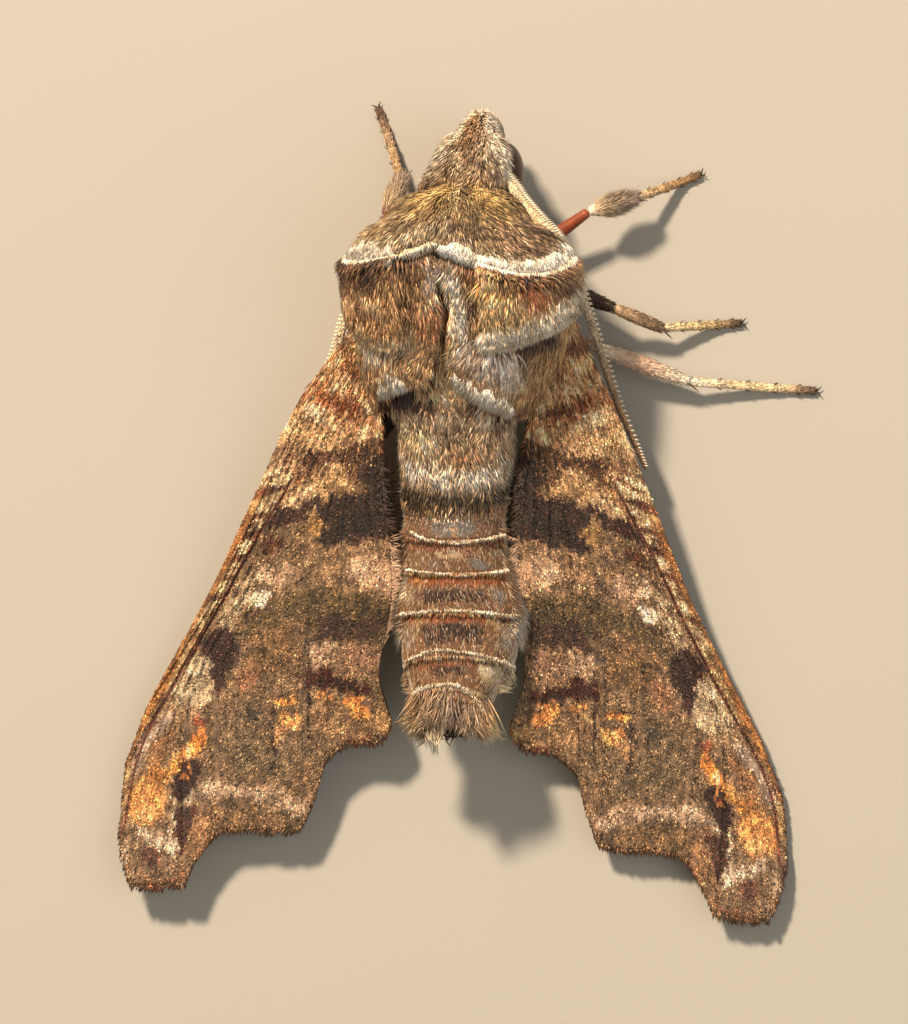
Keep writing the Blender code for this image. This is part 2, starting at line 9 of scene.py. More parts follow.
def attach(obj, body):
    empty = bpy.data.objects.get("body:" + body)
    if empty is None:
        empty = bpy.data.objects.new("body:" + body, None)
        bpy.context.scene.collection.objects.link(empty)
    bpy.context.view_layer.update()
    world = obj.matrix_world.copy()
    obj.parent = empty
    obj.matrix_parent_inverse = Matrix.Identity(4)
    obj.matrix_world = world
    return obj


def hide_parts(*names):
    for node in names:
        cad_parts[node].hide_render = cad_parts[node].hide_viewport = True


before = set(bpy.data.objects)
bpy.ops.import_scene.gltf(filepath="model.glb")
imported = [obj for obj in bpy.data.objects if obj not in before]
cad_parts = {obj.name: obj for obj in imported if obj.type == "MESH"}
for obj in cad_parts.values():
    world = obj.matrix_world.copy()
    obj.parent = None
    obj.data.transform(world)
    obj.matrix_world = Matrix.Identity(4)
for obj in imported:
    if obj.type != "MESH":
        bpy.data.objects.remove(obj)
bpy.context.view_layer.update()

mm = 0.001
print("frame loaded:", len(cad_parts), "nodes")

# Paints of the moth's scales and cuticle, as sRGB hex.
paints = {
    "white": "#fbeed8", "cream": "#e3cba6", "paleGold": "#c9b183", "gold": "#ae8c62",
    "orange": "#cf8f4c", "rust": "#8f4d28", "chestnut": "#7a452c", "tan": "#ae9273",
    "pink": "#bb9f8b", "pinkBrown": "#93705c", "pinkGrey": "#a28f82", "lilac": "#b8a79d",
    "paleGrey": "#c9b8a0", "goldOlive": "#8c7456",
    "brown": "#76593f", "greyBrown": "#74604f", "olive": "#655436", "darkOlive": "#453822",
    "umber": "#4c372b", "darkBrown": "#38261f", "black": "#1c1110",
    "blueGrey": "#7a7674", "peat": "#38281f", "clay": "#5e3826",
    # the first paint of the next row is painted shadow under the flaps' edges
    "flapShadow": "#2c1610", "honey": "#b08e5a", "ash": "#c4b6a8", "chalk": "#efe6d6",
    # the first paint of the next row is dark hair together with painted shade beside the wing's
    # root
    "darkAndShade": "#1f1512", "bark": "#3d2d28", "walnut": "#4a3527", "jet": "#1f120f",
    "cocoa": "#2a1a17",
}


def toLinear(values):
    # sRGB share, 0 to 1, as linear light
    values = np.asarray(values, float)
    return np.where(values <= 0.04045, values / 12.92, ((values + 0.055) / 1.055) ** 2.4)


def paint(name):
    code = paints.get(name, name)
    return np.array([int(code[k:k + 2], 16) / 255 for k in (1, 3, 5)])


def linearColour(name):
    return (*toLinear(paint(name)), 1.0)


def ease(value):
    # smooth step from 0 to 1
    value = np.clip(value, 0.0, 1.0)
    return value * value * (3 - 2 * value)


def lumps(place, size, seed=0):
    # smooth random field from 0 to 1 whose lumps are about size across
    cells = np.asarray(place, float) / size
    low = np.floor(cells).astype(np.int64)
    part = cells - low
    part = part * part * (3 - 2 * part)
    total = np.zeros(len(cells))
    turns = np.array([73856093, 19349663, 83492791][:cells.shape[1]])
    for corner in range(2 ** cells.shape[1]):
        step = np.array([(corner >> k) & 1 for k in range(cells.shape[1])])
        code = ((low + step) * turns).sum(axis=1) ^ (seed * 912367 + 7)
        code = (code ^ (code >> 13)) * 1274126177 & 0xffffffff
        code = (code ^ (code >> 16)) * 668265263 & 0xffffffff
        value = ((code >> 8) & 0xffff) / 65535.0
        total += value * np.prod(np.where(step, part, 1 - part), axis=1)
    return total


def smoothRow(rows, place):
    # cubic curve through rows sorted by their first value, read at many places
    rows = np.array(sorted(rows), float)
    keys, count = rows[:, 0], len(rows)
    place = np.clip(np.asarray(place, float), keys[0], keys[-1])
    at = np.clip(np.searchsorted(keys, place, side="right") - 1, 0, count - 2)
    order = np.arange(count)
    low, high = np.maximum(order - 1, 0), np.minimum(order + 1, count - 1)
    slopes = (rows[high, 1:] - rows[low, 1:]) / (keys[high] - keys[low])[:, None]
    step = (keys[at + 1] - keys[at])[..., None]
    part = (place - keys[at])[..., None] / step
    return ((2 * part ** 3 - 3 * part ** 2 + 1) * rows[at, 1:]
            + (part ** 3 - 2 * part ** 2 + part) * step * slopes[at]
            + (3 * part ** 2 - 2 * part ** 3) * rows[at + 1, 1:]
            + (part ** 3 - part ** 2) * step * slopes[at + 1])


def throughPoints(points, part):
    # smooth curve through evenly counted points
    rows = [(k / (len(points) - 1), *point) for k, point in enumerate(points)]
    return smoothRow(rows, part)


def unit(vectors):
    return vectors / np.maximum(np.linalg.norm(vectors, axis=-1, keepdims=True), 1e-12)


# Body sections as in the solids: y, middle x, middle z, half width, height above and
# below, roll in degrees; then how deep the skin lies under the tips of the coat.
bodyLook = {
    "sections": [
        (19.15, 1.30, 4.35, 0.28, 0.28, 0.34, 5), (18.8, 1.28, 4.38, 0.66, 0.60, 0.80, 5),
        (18.3, 1.24, 4.45, 1.10, 0.95, 1.15, 5), (17.7, 1.20, 4.60, 1.50, 1.25, 1.30, 5),
        (17.0, 1.18, 4.80, 1.85, 1.75, 1.70, 6), (16.2, 1.10, 5.00, 2.10, 2.05, 2.20, 6),
        (15.2, 0.92, 5.20, 2.05, 2.25, 2.35, 6), (14.5, 0.72, 5.30, 2.25, 2.50, 2.45, 6),
        (13.9, 0.58, 5.35, 2.85, 2.85, 2.65, 6), (13.0, 0.50, 5.40, 3.70, 3.20, 2.90, 6),
        (12.0, 0.60, 5.40, 4.20, 3.50, 3.00, 6), (10.4, 0.75, 5.40, 4.40, 3.60, 3.10, 6),
        (9.0, 0.80, 5.30, 4.40, 3.60, 3.10, 6), (7.6, 0.60, 5.20, 4.10, 3.40, 3.00, 5),
        (6.2, 0.40, 5.00, 3.60, 3.15, 2.85, 4), (4.7, 0.25, 4.80, 3.10, 2.90, 2.70, 3),
        (2.9, 0.18, 4.50, 2.98, 2.75, 2.60, 2), (0.5, 0.10, 4.05, 2.78, 2.60, 2.50, 0),
        (-1.1, 0.05, 3.76, 2.66, 2.50, 2.45, 0), (-2.9, 0.10, 3.55, 2.75, 2.40, 2.40, 0),
        (-5.2, 0.20, 3.62, 3.12, 2.35, 2.30, 0), (-6.6, 0.20, 3.90, 2.95, 2.20, 2.10, 0),
        (-7.7, 0.13, 4.20, 2.68, 2.10, 2.00, 0), (-8.6, 0.05, 4.55, 2.25, 1.90, 1.80, 0),
        (-9.4, 0.02, 4.95, 1.85, 1.70, 1.60, 0), (-11.6, -0.12, 6.05, 2.05, 1.10, 1.10, 0)],
    "nose": 19.15, "tail": -10.3, "around": 140, "along": 290,
    "waist": 4.7, "rings": [0.1, -1.1, -2.95, -5.15, -7.6, -9.25],
    "ringFlare": 0.14, "coatDepth": 0.32, "scaleDepth": 0.12,
}


def bodyPoint(y, turn, out=0.0):
    # point of the body's surface; turn is the angle from the back towards +X
    x, z, width, up, down, roll = np.moveaxis(smoothRow(bodyLook["sections"], y), -1, 0)
    rise = (smoothRow(bodyLook["sections"], y + 0.05)[..., 1]
            - smoothRow(bodyLook["sections"], y - 0.05)[..., 1])
    size = np.hypot(0.1, rise)
    zero = np.zeros_like(size)
    above = np.stack([zero, -rise / size, 0.1 / size], -1)
    side = np.stack([zero + 1, zero, zero], -1)
    tilt = np.radians(roll)[..., None]
    above, side = (above * np.cos(tilt) - side * np.sin(tilt),
                   side * np.cos(tilt) + above * np.sin(tilt))
    height = np.where(np.cos(turn) > 0, up, down)
    leanX, leanZ = np.sin(turn) / width, np.cos(turn) / height
    lean = np.hypot(leanX, leanZ)
    across = width * np.sin(turn) + leanX / lean * out
    lift = height * np.cos(turn) + leanZ / lean * out
    middle = np.stack([x, y + zero, z], -1)
    return middle + side * across[..., None] + above * lift[..., None]


def collarEdge(degrees):
    # rear edge of the collar, hollowed more on the right side
    hollow = np.where(degrees > 0, 1.5, 0.8)
    return 12.6 - hollow * np.sin(np.pi * np.minimum(np.abs(degrees) / 95, 1.0))


def shoulderEdge(degrees):
    # rear edge of the long flap; the left one ends further forward
    wide = np.abs(degrees)
    edge = smoothRow([(2, 7.8), (10, 6.8), (25, 5.85), (48, 5.2), (68, 4.8), (84, 6.4)],
                     wide)[..., 0]
    return edge + np.where(degrees < 0, 0.75, 0) * ease((wide - 12) / 14) * ease((66 - wide) / 10)


def lobeEdge(wide):
    return smoothRow([(28, 8.0), (45, 8.3), (66, 9.1), (86, 10.0)], wide)[..., 0]


def flapShares(y, turn):
    # how far each place is on the collar, on a shoulder's outer lobe and on its long flap
    degrees = np.degrees(turn)
    wide = np.abs(degrees)
    edge = collarEdge(degrees)
    collar = ease((y - edge) / 0.2 + 0.5) * ease((15.3 - y) / 0.9) * ease((98 - wide) / 5)
    lobe = (ease((y - lobeEdge(wide)) / 0.2 + 0.5) * ease((edge - y) / 0.3 + 1.0)
            * ease((wide - 18) / 5) * ease((89 - wide) / 5))
    flap = (ease((y - shoulderEdge(degrees)) / 0.2 + 0.5) * ease((edge - y) / 0.3 + 1.0)
            * ease((wide - 1.5) / 2.5) * ease((88 - wide) / 5))
    return collar, lobe, flap


# Heights over the plain body: least, growth to the rear edge and growth on the sides for
# the collar; least and growth on the sides for the long flaps; and on the head's right and
# left the furry lid over each eye, the socket and the fullness of the neck.
flapLook = {"collar": (0.75, 0.37, 0.33), "lobe": 1.8, "flap": (0.88, 0.35),
            "lid": (0.1, 0.3), "socket": (0.12, 0.34), "neck": (0.3, 0.45)}


def skinHeight(y, turn):
    # height of the skin over the plain body: flaps raise it, rings flare it, and on the
    # head it rises over the upper part of each eye as a furry lid
    degrees = np.degrees(turn)
    wide = np.abs(degrees)
    collar, lobe, flap = flapShares(y, turn)
    part = np.clip((14.6 - y) / (14.6 - collarEdge(degrees)), 0, 1)
    bulge = np.sin(np.radians(np.minimum(wide, 90)))
    least, rear, sides = flapLook["collar"]
    onCollar = least + (rear + sides * bulge ** 2) * ease(1.3 * part)
    onFlap = flapLook["flap"][0] + flapLook["flap"][1] * bulge
    height = np.maximum(collar * onCollar, np.maximum(lobe * flapLook["lobe"], flap * onFlap))
    depth = np.where(y < 0.1, bodyLook["scaleDepth"], bodyLook["coatDepth"])
    depth = depth * (1 - 0.65 * ease((y - 18.0) / 0.8))
    ends = [bodyLook["waist"]] + bodyLook["rings"]
    flare = np.zeros_like(y)
    for front, rear in zip(ends, ends[1:]):
        inside = (y <= front) & (y > rear)
        share = (front - y) / (front - rear)
        flare = np.where(inside, bodyLook["ringFlare"] * (share - 0.55), flare)
    rightSide = degrees > 0
    alongEye = ease((y - 14.9) / 0.7) * ease((18.2 - y) / 0.5)
    lid = ease((wide - 22) / 18) * ease((np.where(rightSide, 76.0, 84.0) - wide) / 8)
    socket = ease((wide - np.where(rightSide, 76.0, 88.0)) / 8) * ease((132 - wide) / 12)
    neck = ease((wide - 35) / 30) * ease((140 - wide) / 30)
    neck = neck * ease((y - 13.6) / 1.2) * ease((np.where(rightSide, 15.6, 16.3) - y) / 1.2)
    return (height - depth + flare + np.where(rightSide, *flapLook["lid"]) * lid * alongEye
            - np.where(rightSide, *flapLook["socket"]) * socket * alongEye
            + np.where(rightSide, *flapLook["neck"]) * neck)


def skinPoint(y, turn, out=0.0):
    return bodyPoint(y, turn, skinHeight(y, turn) + out)


def bodyMiddle(y):
    # middle of the body's sections at each y
    rows = smoothRow(bodyLook["sections"], y)
    return np.stack([rows[:, 0], y, rows[:, 1]], 1)


def roundEnds(part, start, end):
    # 1 along a body or limb, falling to 0 at both ends like the end of an egg
    near, far = np.clip(part / start, 0, 1), np.clip((1 - part) / end, 0, 1)
    return np.sqrt(1 - (1 - near) ** 2) * np.sqrt(1 - (1 - far) ** 2)


def uneven(chance, spread, low, high, count):
    # brightness of each hair or scale, around 1
    return np.clip(chance.normal(1.0, spread, count), low, high)[:, None]


def reachOf(spot, shape):
    # distance of each place from a shape, below zero inside it. A row of (x, y, half width)
    # is a stroke that tapers between its points, a row of (x, y) is the outline of an area
    points = np.array(shape, float)
    if points.shape[1] == 2:
        pairs = list(zip(points, np.roll(points, -1, axis=0)))
    else:
        pairs = list(zip(points, points[1:])) or [(points[0], points[0])]
    reach = np.full(len(spot), 99.0)
    inside = np.zeros(len(spot), bool)
    for near, far in pairs:
        run = far[:2] - near[:2]
        part = np.clip(((spot - near[:2]) @ run) / max(run @ run, 1e-9), 0, 1)
        away = np.linalg.norm(spot - near[:2] - part[:, None] * run, axis=1)
        if len(near) == 3:
            away = away - near[2] - (far[2] - near[2]) * part
        elif run[1]:
            crosses = (near[1] > spot[:, 1]) != (far[1] > spot[:, 1])
            inside ^= crosses & (spot[:, 0] < near[0] + (spot[:, 1] - near[1]) * run[0] / run[1])
        reach = np.minimum(reach, away)
    return np.where(inside, -reach, reach)


def paintOver(tint, place, marks, ragged, seed, grain, blur=1.0):
    # marks: paint, strength, soft edge and shape; later ones lie on top. grain, 0 to 1 for
    # each point, decides which scales take a paint where it thins out
    wobble = np.stack([0.5 * lumps(place, 0.55, seed + k) + 0.7 * lumps(place, 0.21, seed + 2 + k)
                       + 0.8 * lumps(place * (0.5, 1.4), 0.09, seed + 7 + k) for k in (0, 1)], 1)
    spot = place + (wobble - 1.0) * ragged * (1.5, 0.8)
    patchy = 0.75 + 0.5 * lumps(place, 0.28, seed + 5)
    for name, strength, soft, shape in marks:
        soft = soft * blur
        corners = np.array(shape, float)
        low, high = corners[:, :2].min(axis=0) - 1.2, corners[:, :2].max(axis=0) + 1.2
        near = np.flatnonzero(((spot > low) & (spot < high)).all(axis=1))
        if not len(near):
            continue
        share = strength * (1 - ease((reachOf(spot[near], shape) + soft) / (2 * soft)))
        share = share * np.where(share > 0.9 * strength, 1, patchy[near])
        speckled = np.clip((share - grain[near]) * 4 + 0.5, 0, 1) * (share > 0.02)
        share = np.clip(0.3 * share + 0.7 * speckled, 0, 1)[:, None]
        tint[near] += share * (paint(name) - tint[near])
    return tint


# Markings of the body on each layer, as (turn in degrees, y, half width).
bodyMarks = {
    "head": [
        ("paleGrey", 0.9, 0.3, [(22, 19.2), (80, 19.2), (80, 16.2), (76, 15), (50, 15),
            (36, 16.2)]),
        ("paleGrey", 0.85, 0.3, [(-80, 19.2), (-24, 19.2), (-30, 16.2), (-40, 15.4), (-80, 15)]),
        ("brown", 0.75, 0.3, [(-20, 18.6), (10, 18.6), (16, 16.9), (-4, 16.3), (-24, 16.7)]),
        ("chestnut", 0.15, 0.3, [(-12, 16.2), (10, 16.3), (30, 15.8), (44, 15.2), (24, 14.8),
            (6, 15.3)]),
        ("goldOlive", 0.6, 0.35, [(-32, 15.7), (-8, 15.5), (-4, 14.5), (-30, 14.5)]),
        ("white", 0.7, 0.15, [(64, 15.7), (80, 15.3), (84, 14.4), (72, 14.7)]),
        ("paleGrey", 0.6, 0.2, [(-80, 19.3), (80, 19.3), (60, 18.8), (-60, 18.8)]),
    ],
    "collar": [
        ("#6a5848", 0.7, 0.5, [(-95, 13.3), (-20, 13.3), (20, 13.4), (95, 13.4), (95, 12),
            (50, 11), (0, 12), (-95, 12)]),
        ("honey", 0.85, 0.45, [(-36, 14.9), (-4, 15.3), (-3, 13.6), (-22, 13.3), (-40, 13.7)]),
        ("honey", 0.95, 0.45, [(20, 15), (44, 14.7), (58, 13.6), (46, 13), (28, 13.2)]),
        ("orange", 0.3, 0.3, [(30, 14.6), (40, 14.3), (46, 13.6), (36, 13.6)]),
        ("umber", 0.85, 0.2, [(9, 15), (16, 14.8), (15, 14.1), (9, 14)]),
        ("chestnut", 0.55, 0.2, [(3, 13.5), (12, 13.3), (9, 12.9), (2, 12.9)]),
        ("tan", 0.35, 0.35, [(-66, 13.2), (-20, 13.2), (-12, 12.7), (-34, 12.1), (-60, 12.4)]),
        ("pinkBrown", 0.4, 0.35, [(34, 12.7), (60, 12.7), (84, 12.9), (70, 12), (50, 11.5),
            (36, 11.7)]),
        ("olive", 0.4, 0.3, [(14, 13.7), (26, 13.4), (30, 12.6), (16, 12.8)]),
        ("paleGold", 1, 0.08, [(5, 15.3, 0.1), (7, 14.6, 0.17), (6.5, 13.6, 0.17),
            (4.5, 13, 0.12)]),
    ],
    "flap": [
        ("clay", 0.75, 0.35, [(7, 12.3), (26, 11.3), (60, 10.9), (30, 10.1), (14, 10.7)]),
        ("paleGrey", 0.85, 0.22, [(3, 11.3), (11, 11.3), (15, 9.9), (13, 8.6), (11, 7.9), (5, 8.3),
            (4, 9.8)]),
        ("peat", 0.6, 0.25, [(14, 11), (21, 10.6), (19, 9), (15, 9)]),
        ("lilac", 0.85, 0.3, [(10, 8.1), (24, 8.1), (34, 7.7), (46, 7), (58, 6.2), (50, 5.5),
            (40, 5.8), (26, 6.3), (12, 7.1)]),
        # painted shadow: the next mark darkens the flap just behind the outer lobe's edge, where
        # the lobe shades it
        ("peat", 0.9, 0.3, [(22, 9.1), (30, 8.3), (44, 8.2), (62, 8.6), (70, 7.7), (56, 6.9),
            (42, 7.2), (30, 7.5), (23, 8.1)]),
        ("brown", 0.6, 0.35, [(50, 7.1), (76, 7.4), (86, 6.6), (70, 5.2), (56, 5.6)]),
        ("peat", 0.7, 0.35, [(-66, 11.8), (-30, 11.5), (-12, 11.4), (-11, 10.2), (-34, 9.8),
            (-62, 10.2)]),
        ("lilac", 0.65, 0.25, [(-10, 11.3), (-2, 11.3), (-3, 9.8), (-9, 9.9)]),
        ("tan", 0.7, 0.15, [(-34, 11.2), (-24, 11.1), (-25, 10.5), (-33, 10.6)]),
        ("tan", 0.6, 0.15, [(-58, 12), (-46, 12), (-48, 11.3), (-57, 11.3)]),
        ("peat", 0.5, 0.3, [(-30, 9.9), (-16, 9.7), (-14, 9.1), (-28, 9.2)]),
        ("#bd9880", 0.95, 0.35, [(-66, 8.8), (-36, 8.7), (-18, 8.3), (-15, 7.2), (-34, 6.9),
            (-60, 6.6)]),
        ("tan", 0.5, 0.3, [(-34, 8.5), (-18, 8.4), (-17, 7.5), (-32, 7.5)]),
        ("clay", 0.75, 0.3, [(-14, 9.2), (-3, 9.2), (-4, 7.9), (-14, 8)]),
    ],
    "lobe": [
        ("peat", 0.85, 0.4, [(-90, 11.8), (-50, 11.6), (-28, 11.4), (-32, 10.3), (-60, 10.2),
            (-88, 10.7)]),
        ("tan", 0.5, 0.25, [(-58, 12), (-44, 12), (-46, 11.2), (-57, 11.2)]),
        ("pinkBrown", 0.6, 0.4, [(-80, 10.2), (-40, 9.9), (-30, 9), (-70, 9.4)]),
        ("peat", 0.9, 0.3, [(24, 11.6), (44, 11.1), (60, 11.2), (76, 11.6), (74, 10.6), (58, 10.2),
            (44, 10.1), (30, 10.3)]),
        ("#a08058", 0.7, 0.3, [(18, 10.5), (30, 10.2), (42, 9.5), (40, 8.7), (26, 8.5), (18, 9)]),
        ("orange", 0.3, 0.2, [(22, 10.4), (34, 10.3), (32, 9.4), (23, 9.5)]),
        ("chestnut", 0.7, 0.2, [(40, 10), (54, 10), (56, 9.3), (44, 9.3)]),
        ("peat", 0.7, 0.25, [(60, 10), (84, 10.6), (88, 9.8), (70, 9.4), (60, 9.4)]),
        ("tan", 0.6, 0.25, [(40, 9.3), (56, 9.3), (54, 8.8), (40, 8.7)]),
    ],
    "base": [
        ("gold", 0.5, 0.35, [(-22, 8.4), (4, 8.4), (12, 7.6), (9, 6.3), (-18, 6.3)]),
        ("goldOlive", 0.8, 0.25, [(-22, 6.7), (6, 6.8), (11, 6.2), (-4, 5.8), (-22, 5.8)]),
        # painted shadow: the next two marks darken the waist just behind the flaps' edges, where
        # the flaps shade it
        ("flapShadow", 1, 0.22, [(-66, 6.2), (-40, 6.4), (-22, 6.8), (-19, 5.8), (-24, 5), (-46, 4.7),
            (-80, 5)]),
        ("flapShadow", 1, 0.2, [(9, 7.2), (16, 6.9), (30, 6.2), (50, 5.5), (84, 6), (80, 4), (50, 4),
            (34, 4.3), (24, 4.9), (13, 5.7)]),
        ("gold", 0.85, 0.16, [(-24, 5.9), (-8, 6), (6, 5.8), (20, 5.7), (28, 5.2), (20, 4.9),
            (6, 5.3), (-8, 5.2), (-20, 5.2)]),
        ("chestnut", 0.5, 0.2, [(4, 6.2), (20, 6.3), (18, 5.8), (4, 5.7)]),
        ("darkBrown", 0.85, 0.12, [(-40, 5.05), (-10, 5), (10, 4.9), (32, 4.8), (30, 4.4),
            (12, 4.45), (8, 4.7), (-6, 4.6), (-34, 4.4)]),
        ("paleGold", 0.6, 0.15, [(-12, 4.8), (-2, 4.7), (5, 4.4), (2, 3.9), (-10, 4)]),
        ("tan", 0.85, 0.15, [(28, 4.7), (44, 4.8), (52, 4.2), (46, 3.7), (30, 4)]),
        ("umber", 0.65, 0.12, [(-32, 4.05), (-6, 3.9), (10, 4), (30, 3.95), (30, 3.65), (8, 3.65),
            (-30, 3.7)]),
        ("paleGold", 0.85, 0.25, [(-46, 3.6), (-14, 3.8), (-16, 3), (-46, 2.9)]),
        ("gold", 0.6, 0.25, [(10, 3.4), (30, 3.3), (28, 2.8), (12, 2.9)]),
        ("chestnut", 0.35, 0.35, [(0, 2.9), (40, 2.7), (36, 2.1), (4, 2.2)]),
        ("#b39a86", 0.9, 0.3, [(-60, 2.4), (-30, 2.3), (0, 2), (30, 1.9), (54, 2.1), (52, 1),
            (26, 1), (0, 1.2), (-30, 1.3), (-56, 1.4)]),
        ("white", 0.7, 0.25, [(-56, 2.2), (-36, 2), (-34, 1.5), (-54, 1.6)]),
        ("white", 0.7, 0.25, [(16, 1.7), (44, 1.8), (42, 1.2), (18, 1.1)]),
        ("#2a2014", 1, 0.2, [(-80, 1.1), (-20, 0.9), (20, 0.8), (80, 1.1), (70, 0.2), (30, -0.1),
            (0, -0.25), (-30, -0.1), (-70, 0.2)]),
        ("darkOlive", 0.8, 0.15, [(-54, 0.5), (-10, 0.35), (20, 0.3), (54, 0.5), (40, -0.1),
            (0, -0.25), (-40, -0.1)]),
        ("white", 0.85, 0.08, [(55, 2.8, 0.05), (58, 2, 0.08), (57, 1, 0.06)]),
    ],
    "rings": [
        ("pinkBrown", 0.5, 0.3, [(-60, -0.1), (60, -0.1), (60, -1), (-60, -1)]),
        ("blueGrey", 0.9, 0.1, [(-20, -0.25), (0, -0.2), (24, -0.25), (31, -0.6), (16, -0.95),
            (-4, -0.95), (-20, -0.7)]),
        ("orange", 0.95, 0.07, [(5, -0.4, 0.05), (7, -0.8, 0.09)]),
        ("chestnut", 0.7, 0.2, [(-66, -1.2), (66, -1.2), (64, -1.8), (-64, -1.8)]),
        ("goldOlive", 0.5, 0.2, [(-60, -1.8), (-30, -1.7), (-34, -2.6), (-62, -2.6)]),
        ("goldOlive", 0.5, 0.2, [(38, -1.7), (64, -1.7), (64, -2.6), (44, -2.6)]),
        ("cream", 0.6, 0.12, [(-16, -1.7), (14, -1.7), (12, -2.1), (-14, -2.1)]),
        ("blueGrey", 0.5, 0.1, [(-24, -2.25), (-10, -2.25), (-12, -2.75), (-24, -2.75)]),
        ("blueGrey", 0.95, 0.08, [(20, -2.2), (32, -2.1), (43, -2.6), (34, -2.85), (24, -2.7)]),
        ("rust", 0.9, 0.2, [(-62, -3.1), (62, -3.1), (60, -3.65), (-60, -3.65)]),
        ("orange", 0.7, 0.12, [(-46, -3.2), (-34, -3.2), (-34, -3.5), (-46, -3.5)]),
        ("darkBrown", 0.8, 0.25, [(-28, -3.9), (30, -3.9), (34, -4.6), (-30, -4.6)]),
        ("cream", 0.35, 0.3, [(-66, -3.8), (-44, -3.8), (-44, -4.7), (-66, -4.7)]),
        ("blueGrey", 0.85, 0.12, [(38, -4), (52, -3.9), (57, -4.5), (42, -4.75)]),
        ("rust", 0.9, 0.2, [(-56, -5.3), (30, -5.3), (34, -5.8), (-54, -5.8)]),
        ("gold", 0.8, 0.12, [(-42, -5.4), (-32, -5.4), (-32, -5.9), (-42, -5.9)]),
        ("gold", 0.9, 0.12, [(32, -5.35), (46, -5.35), (48, -6), (34, -5.9)]),
        ("darkBrown", 0.8, 0.12, [(46, -5.4), (56, -5.4), (56, -5.8), (48, -5.8)]),
        ("darkBrown", 0.92, 0.2, [(-30, -6), (0, -5.9), (30, -6), (28, -6.9), (0, -6.8),
            (-28, -6.9)]),
        ("pinkGrey", 0.5, 0.3, [(-80, -6), (-44, -6), (-44, -7.2), (-80, -7.3)]),
        ("pinkGrey", 0.6, 0.3, [(48, -6), (84, -5.9), (84, -7.2), (50, -7)]),
        ("blueGrey", 0.45, 0.15, [(46, -6.5), (60, -6.3), (62, -7), (48, -7.2)]),
        ("chestnut", 0.75, 0.2, [(-60, -7.9), (44, -7.9), (36, -8.3), (-50, -8.2)]),
        ("darkBrown", 0.8, 0.15, [(-26, -8.2), (20, -8.1), (18, -8.7), (-22, -8.7)]),
        ("paleGold", 0.95, 0.15, [(34, -7.9), (70, -7.8), (90, -8.4), (64, -8.9), (38, -8.5)]),
        ("white", 0.5, 0.15, [(40, -8), (62, -8), (56, -8.5), (42, -8.4)]),
        ("chestnut", 0.6, 0.25, [(-36, -9.3), (26, -9.3), (12, -10.2), (-22, -10.2)]),
        ("gold", 0.5, 0.2, [(-14, -9.4), (10, -9.4), (6, -10), (-12, -10)]),
    ],
}
arcScale = 0.06          # mm of the body's girth for each degree of turn


def bodyTint(y, turn, grain):
    # colour of the skin or coat at a place of the body, whichever layer lies there
    degrees = (np.degrees(turn) + 180) % 360 - 180
    wide = np.abs(degrees)
    place = np.stack([degrees * arcScale, y], 1)
    collar, lobe, flap = flapShares(y, np.radians(degrees))

    def layer(ground, name, seed):
        scaled = [(label, strength, soft, [(point[0] * arcScale, *point[1:]) for point in shape])
                  for label, strength, soft, shape in bodyMarks[name]]
        return paintOver(flat(ground), place, scaled, 0.26, seed, grain)

    def blend(under, over, share):
        return under + share[:, None] * (over - under)

    def flat(name):
        return np.tile(paint(name), (len(y), 1))

    tint = layer("#846b54", "base", 3)
    rings = layer("#75563f", "rings", 11)
    side = ease((wide - 66) / 12)
    rings = blend(rings, flat("#c2a58f"), 0.8 * side)
    fleck = (grain * 7.3) % 1
    rings = blend(rings, flat("#c9ac8a"), 0.6 * (fleck > 0.8))
    rings = blend(rings, flat("#8c4a2a"), 0.45 * (fleck < 0.15))
    tint = blend(tint, rings, ease((0.0 - y) / 0.1))
    tint = blend(tint, layer("#86745f", "head", 5), ease((y - 14.9) / 0.5))
    # painted shade: black along the back's middle between the flaps, where the groove between them
    # lies in shade
    grooveShade = ease((4.5 - np.abs(degrees - 1)) / 3) * ease((12.5 - y) / 0.3) * ease((y - 9.0) / 0.8)
    tint = blend(tint, flat("black"), 0.9 * grooveShade)
    long = layer("brown", "flap", 7)
    short = layer("brown", "lobe", 8)
    front = layer("#7f6948", "collar", 9)
    behind = collarEdge(degrees) - y
    hem = ease((behind + 0.2) / 0.2) * (1 - ease((behind - 0.25) / 0.3))
    shadow = ease((behind - 0.15) / 0.2) * (1 - ease((behind - 0.6) / 0.5))
    rim = (1 - ease((y - lobeEdge(wide) - 0.3) / 0.35)) * (degrees > 0)
    short = blend(short, flat("paleGrey"), 0.9 * rim)
    for coat in (long, short):
        coat += (0.75 * hem)[:, None] * (paint("rust") - coat)
        coat += (0.6 * shadow)[:, None] * (paint("darkBrown") - coat)
    rim = 1 - ease((-behind - 0.22) / 0.16)
    front = blend(front, flat("cream"), 0.8 * rim)
    tint = blend(tint, long, flap)
    tint = blend(tint, short, lobe)
    tint = blend(tint, front, collar)
    belly = ease((wide - 96) / 24)
    tint = blend(tint, flat("pinkBrown"), 0.75 * belly)
    # the coat's tips even out the markings, so these are set further apart here
    depth = np.clip((tint.mean(axis=1) / 0.18) ** 0.55, 0.4, 1.25)[:, None]
    return tint * (1 + (depth - 1) * ease((12.5 - y) / 1.5)[:, None])


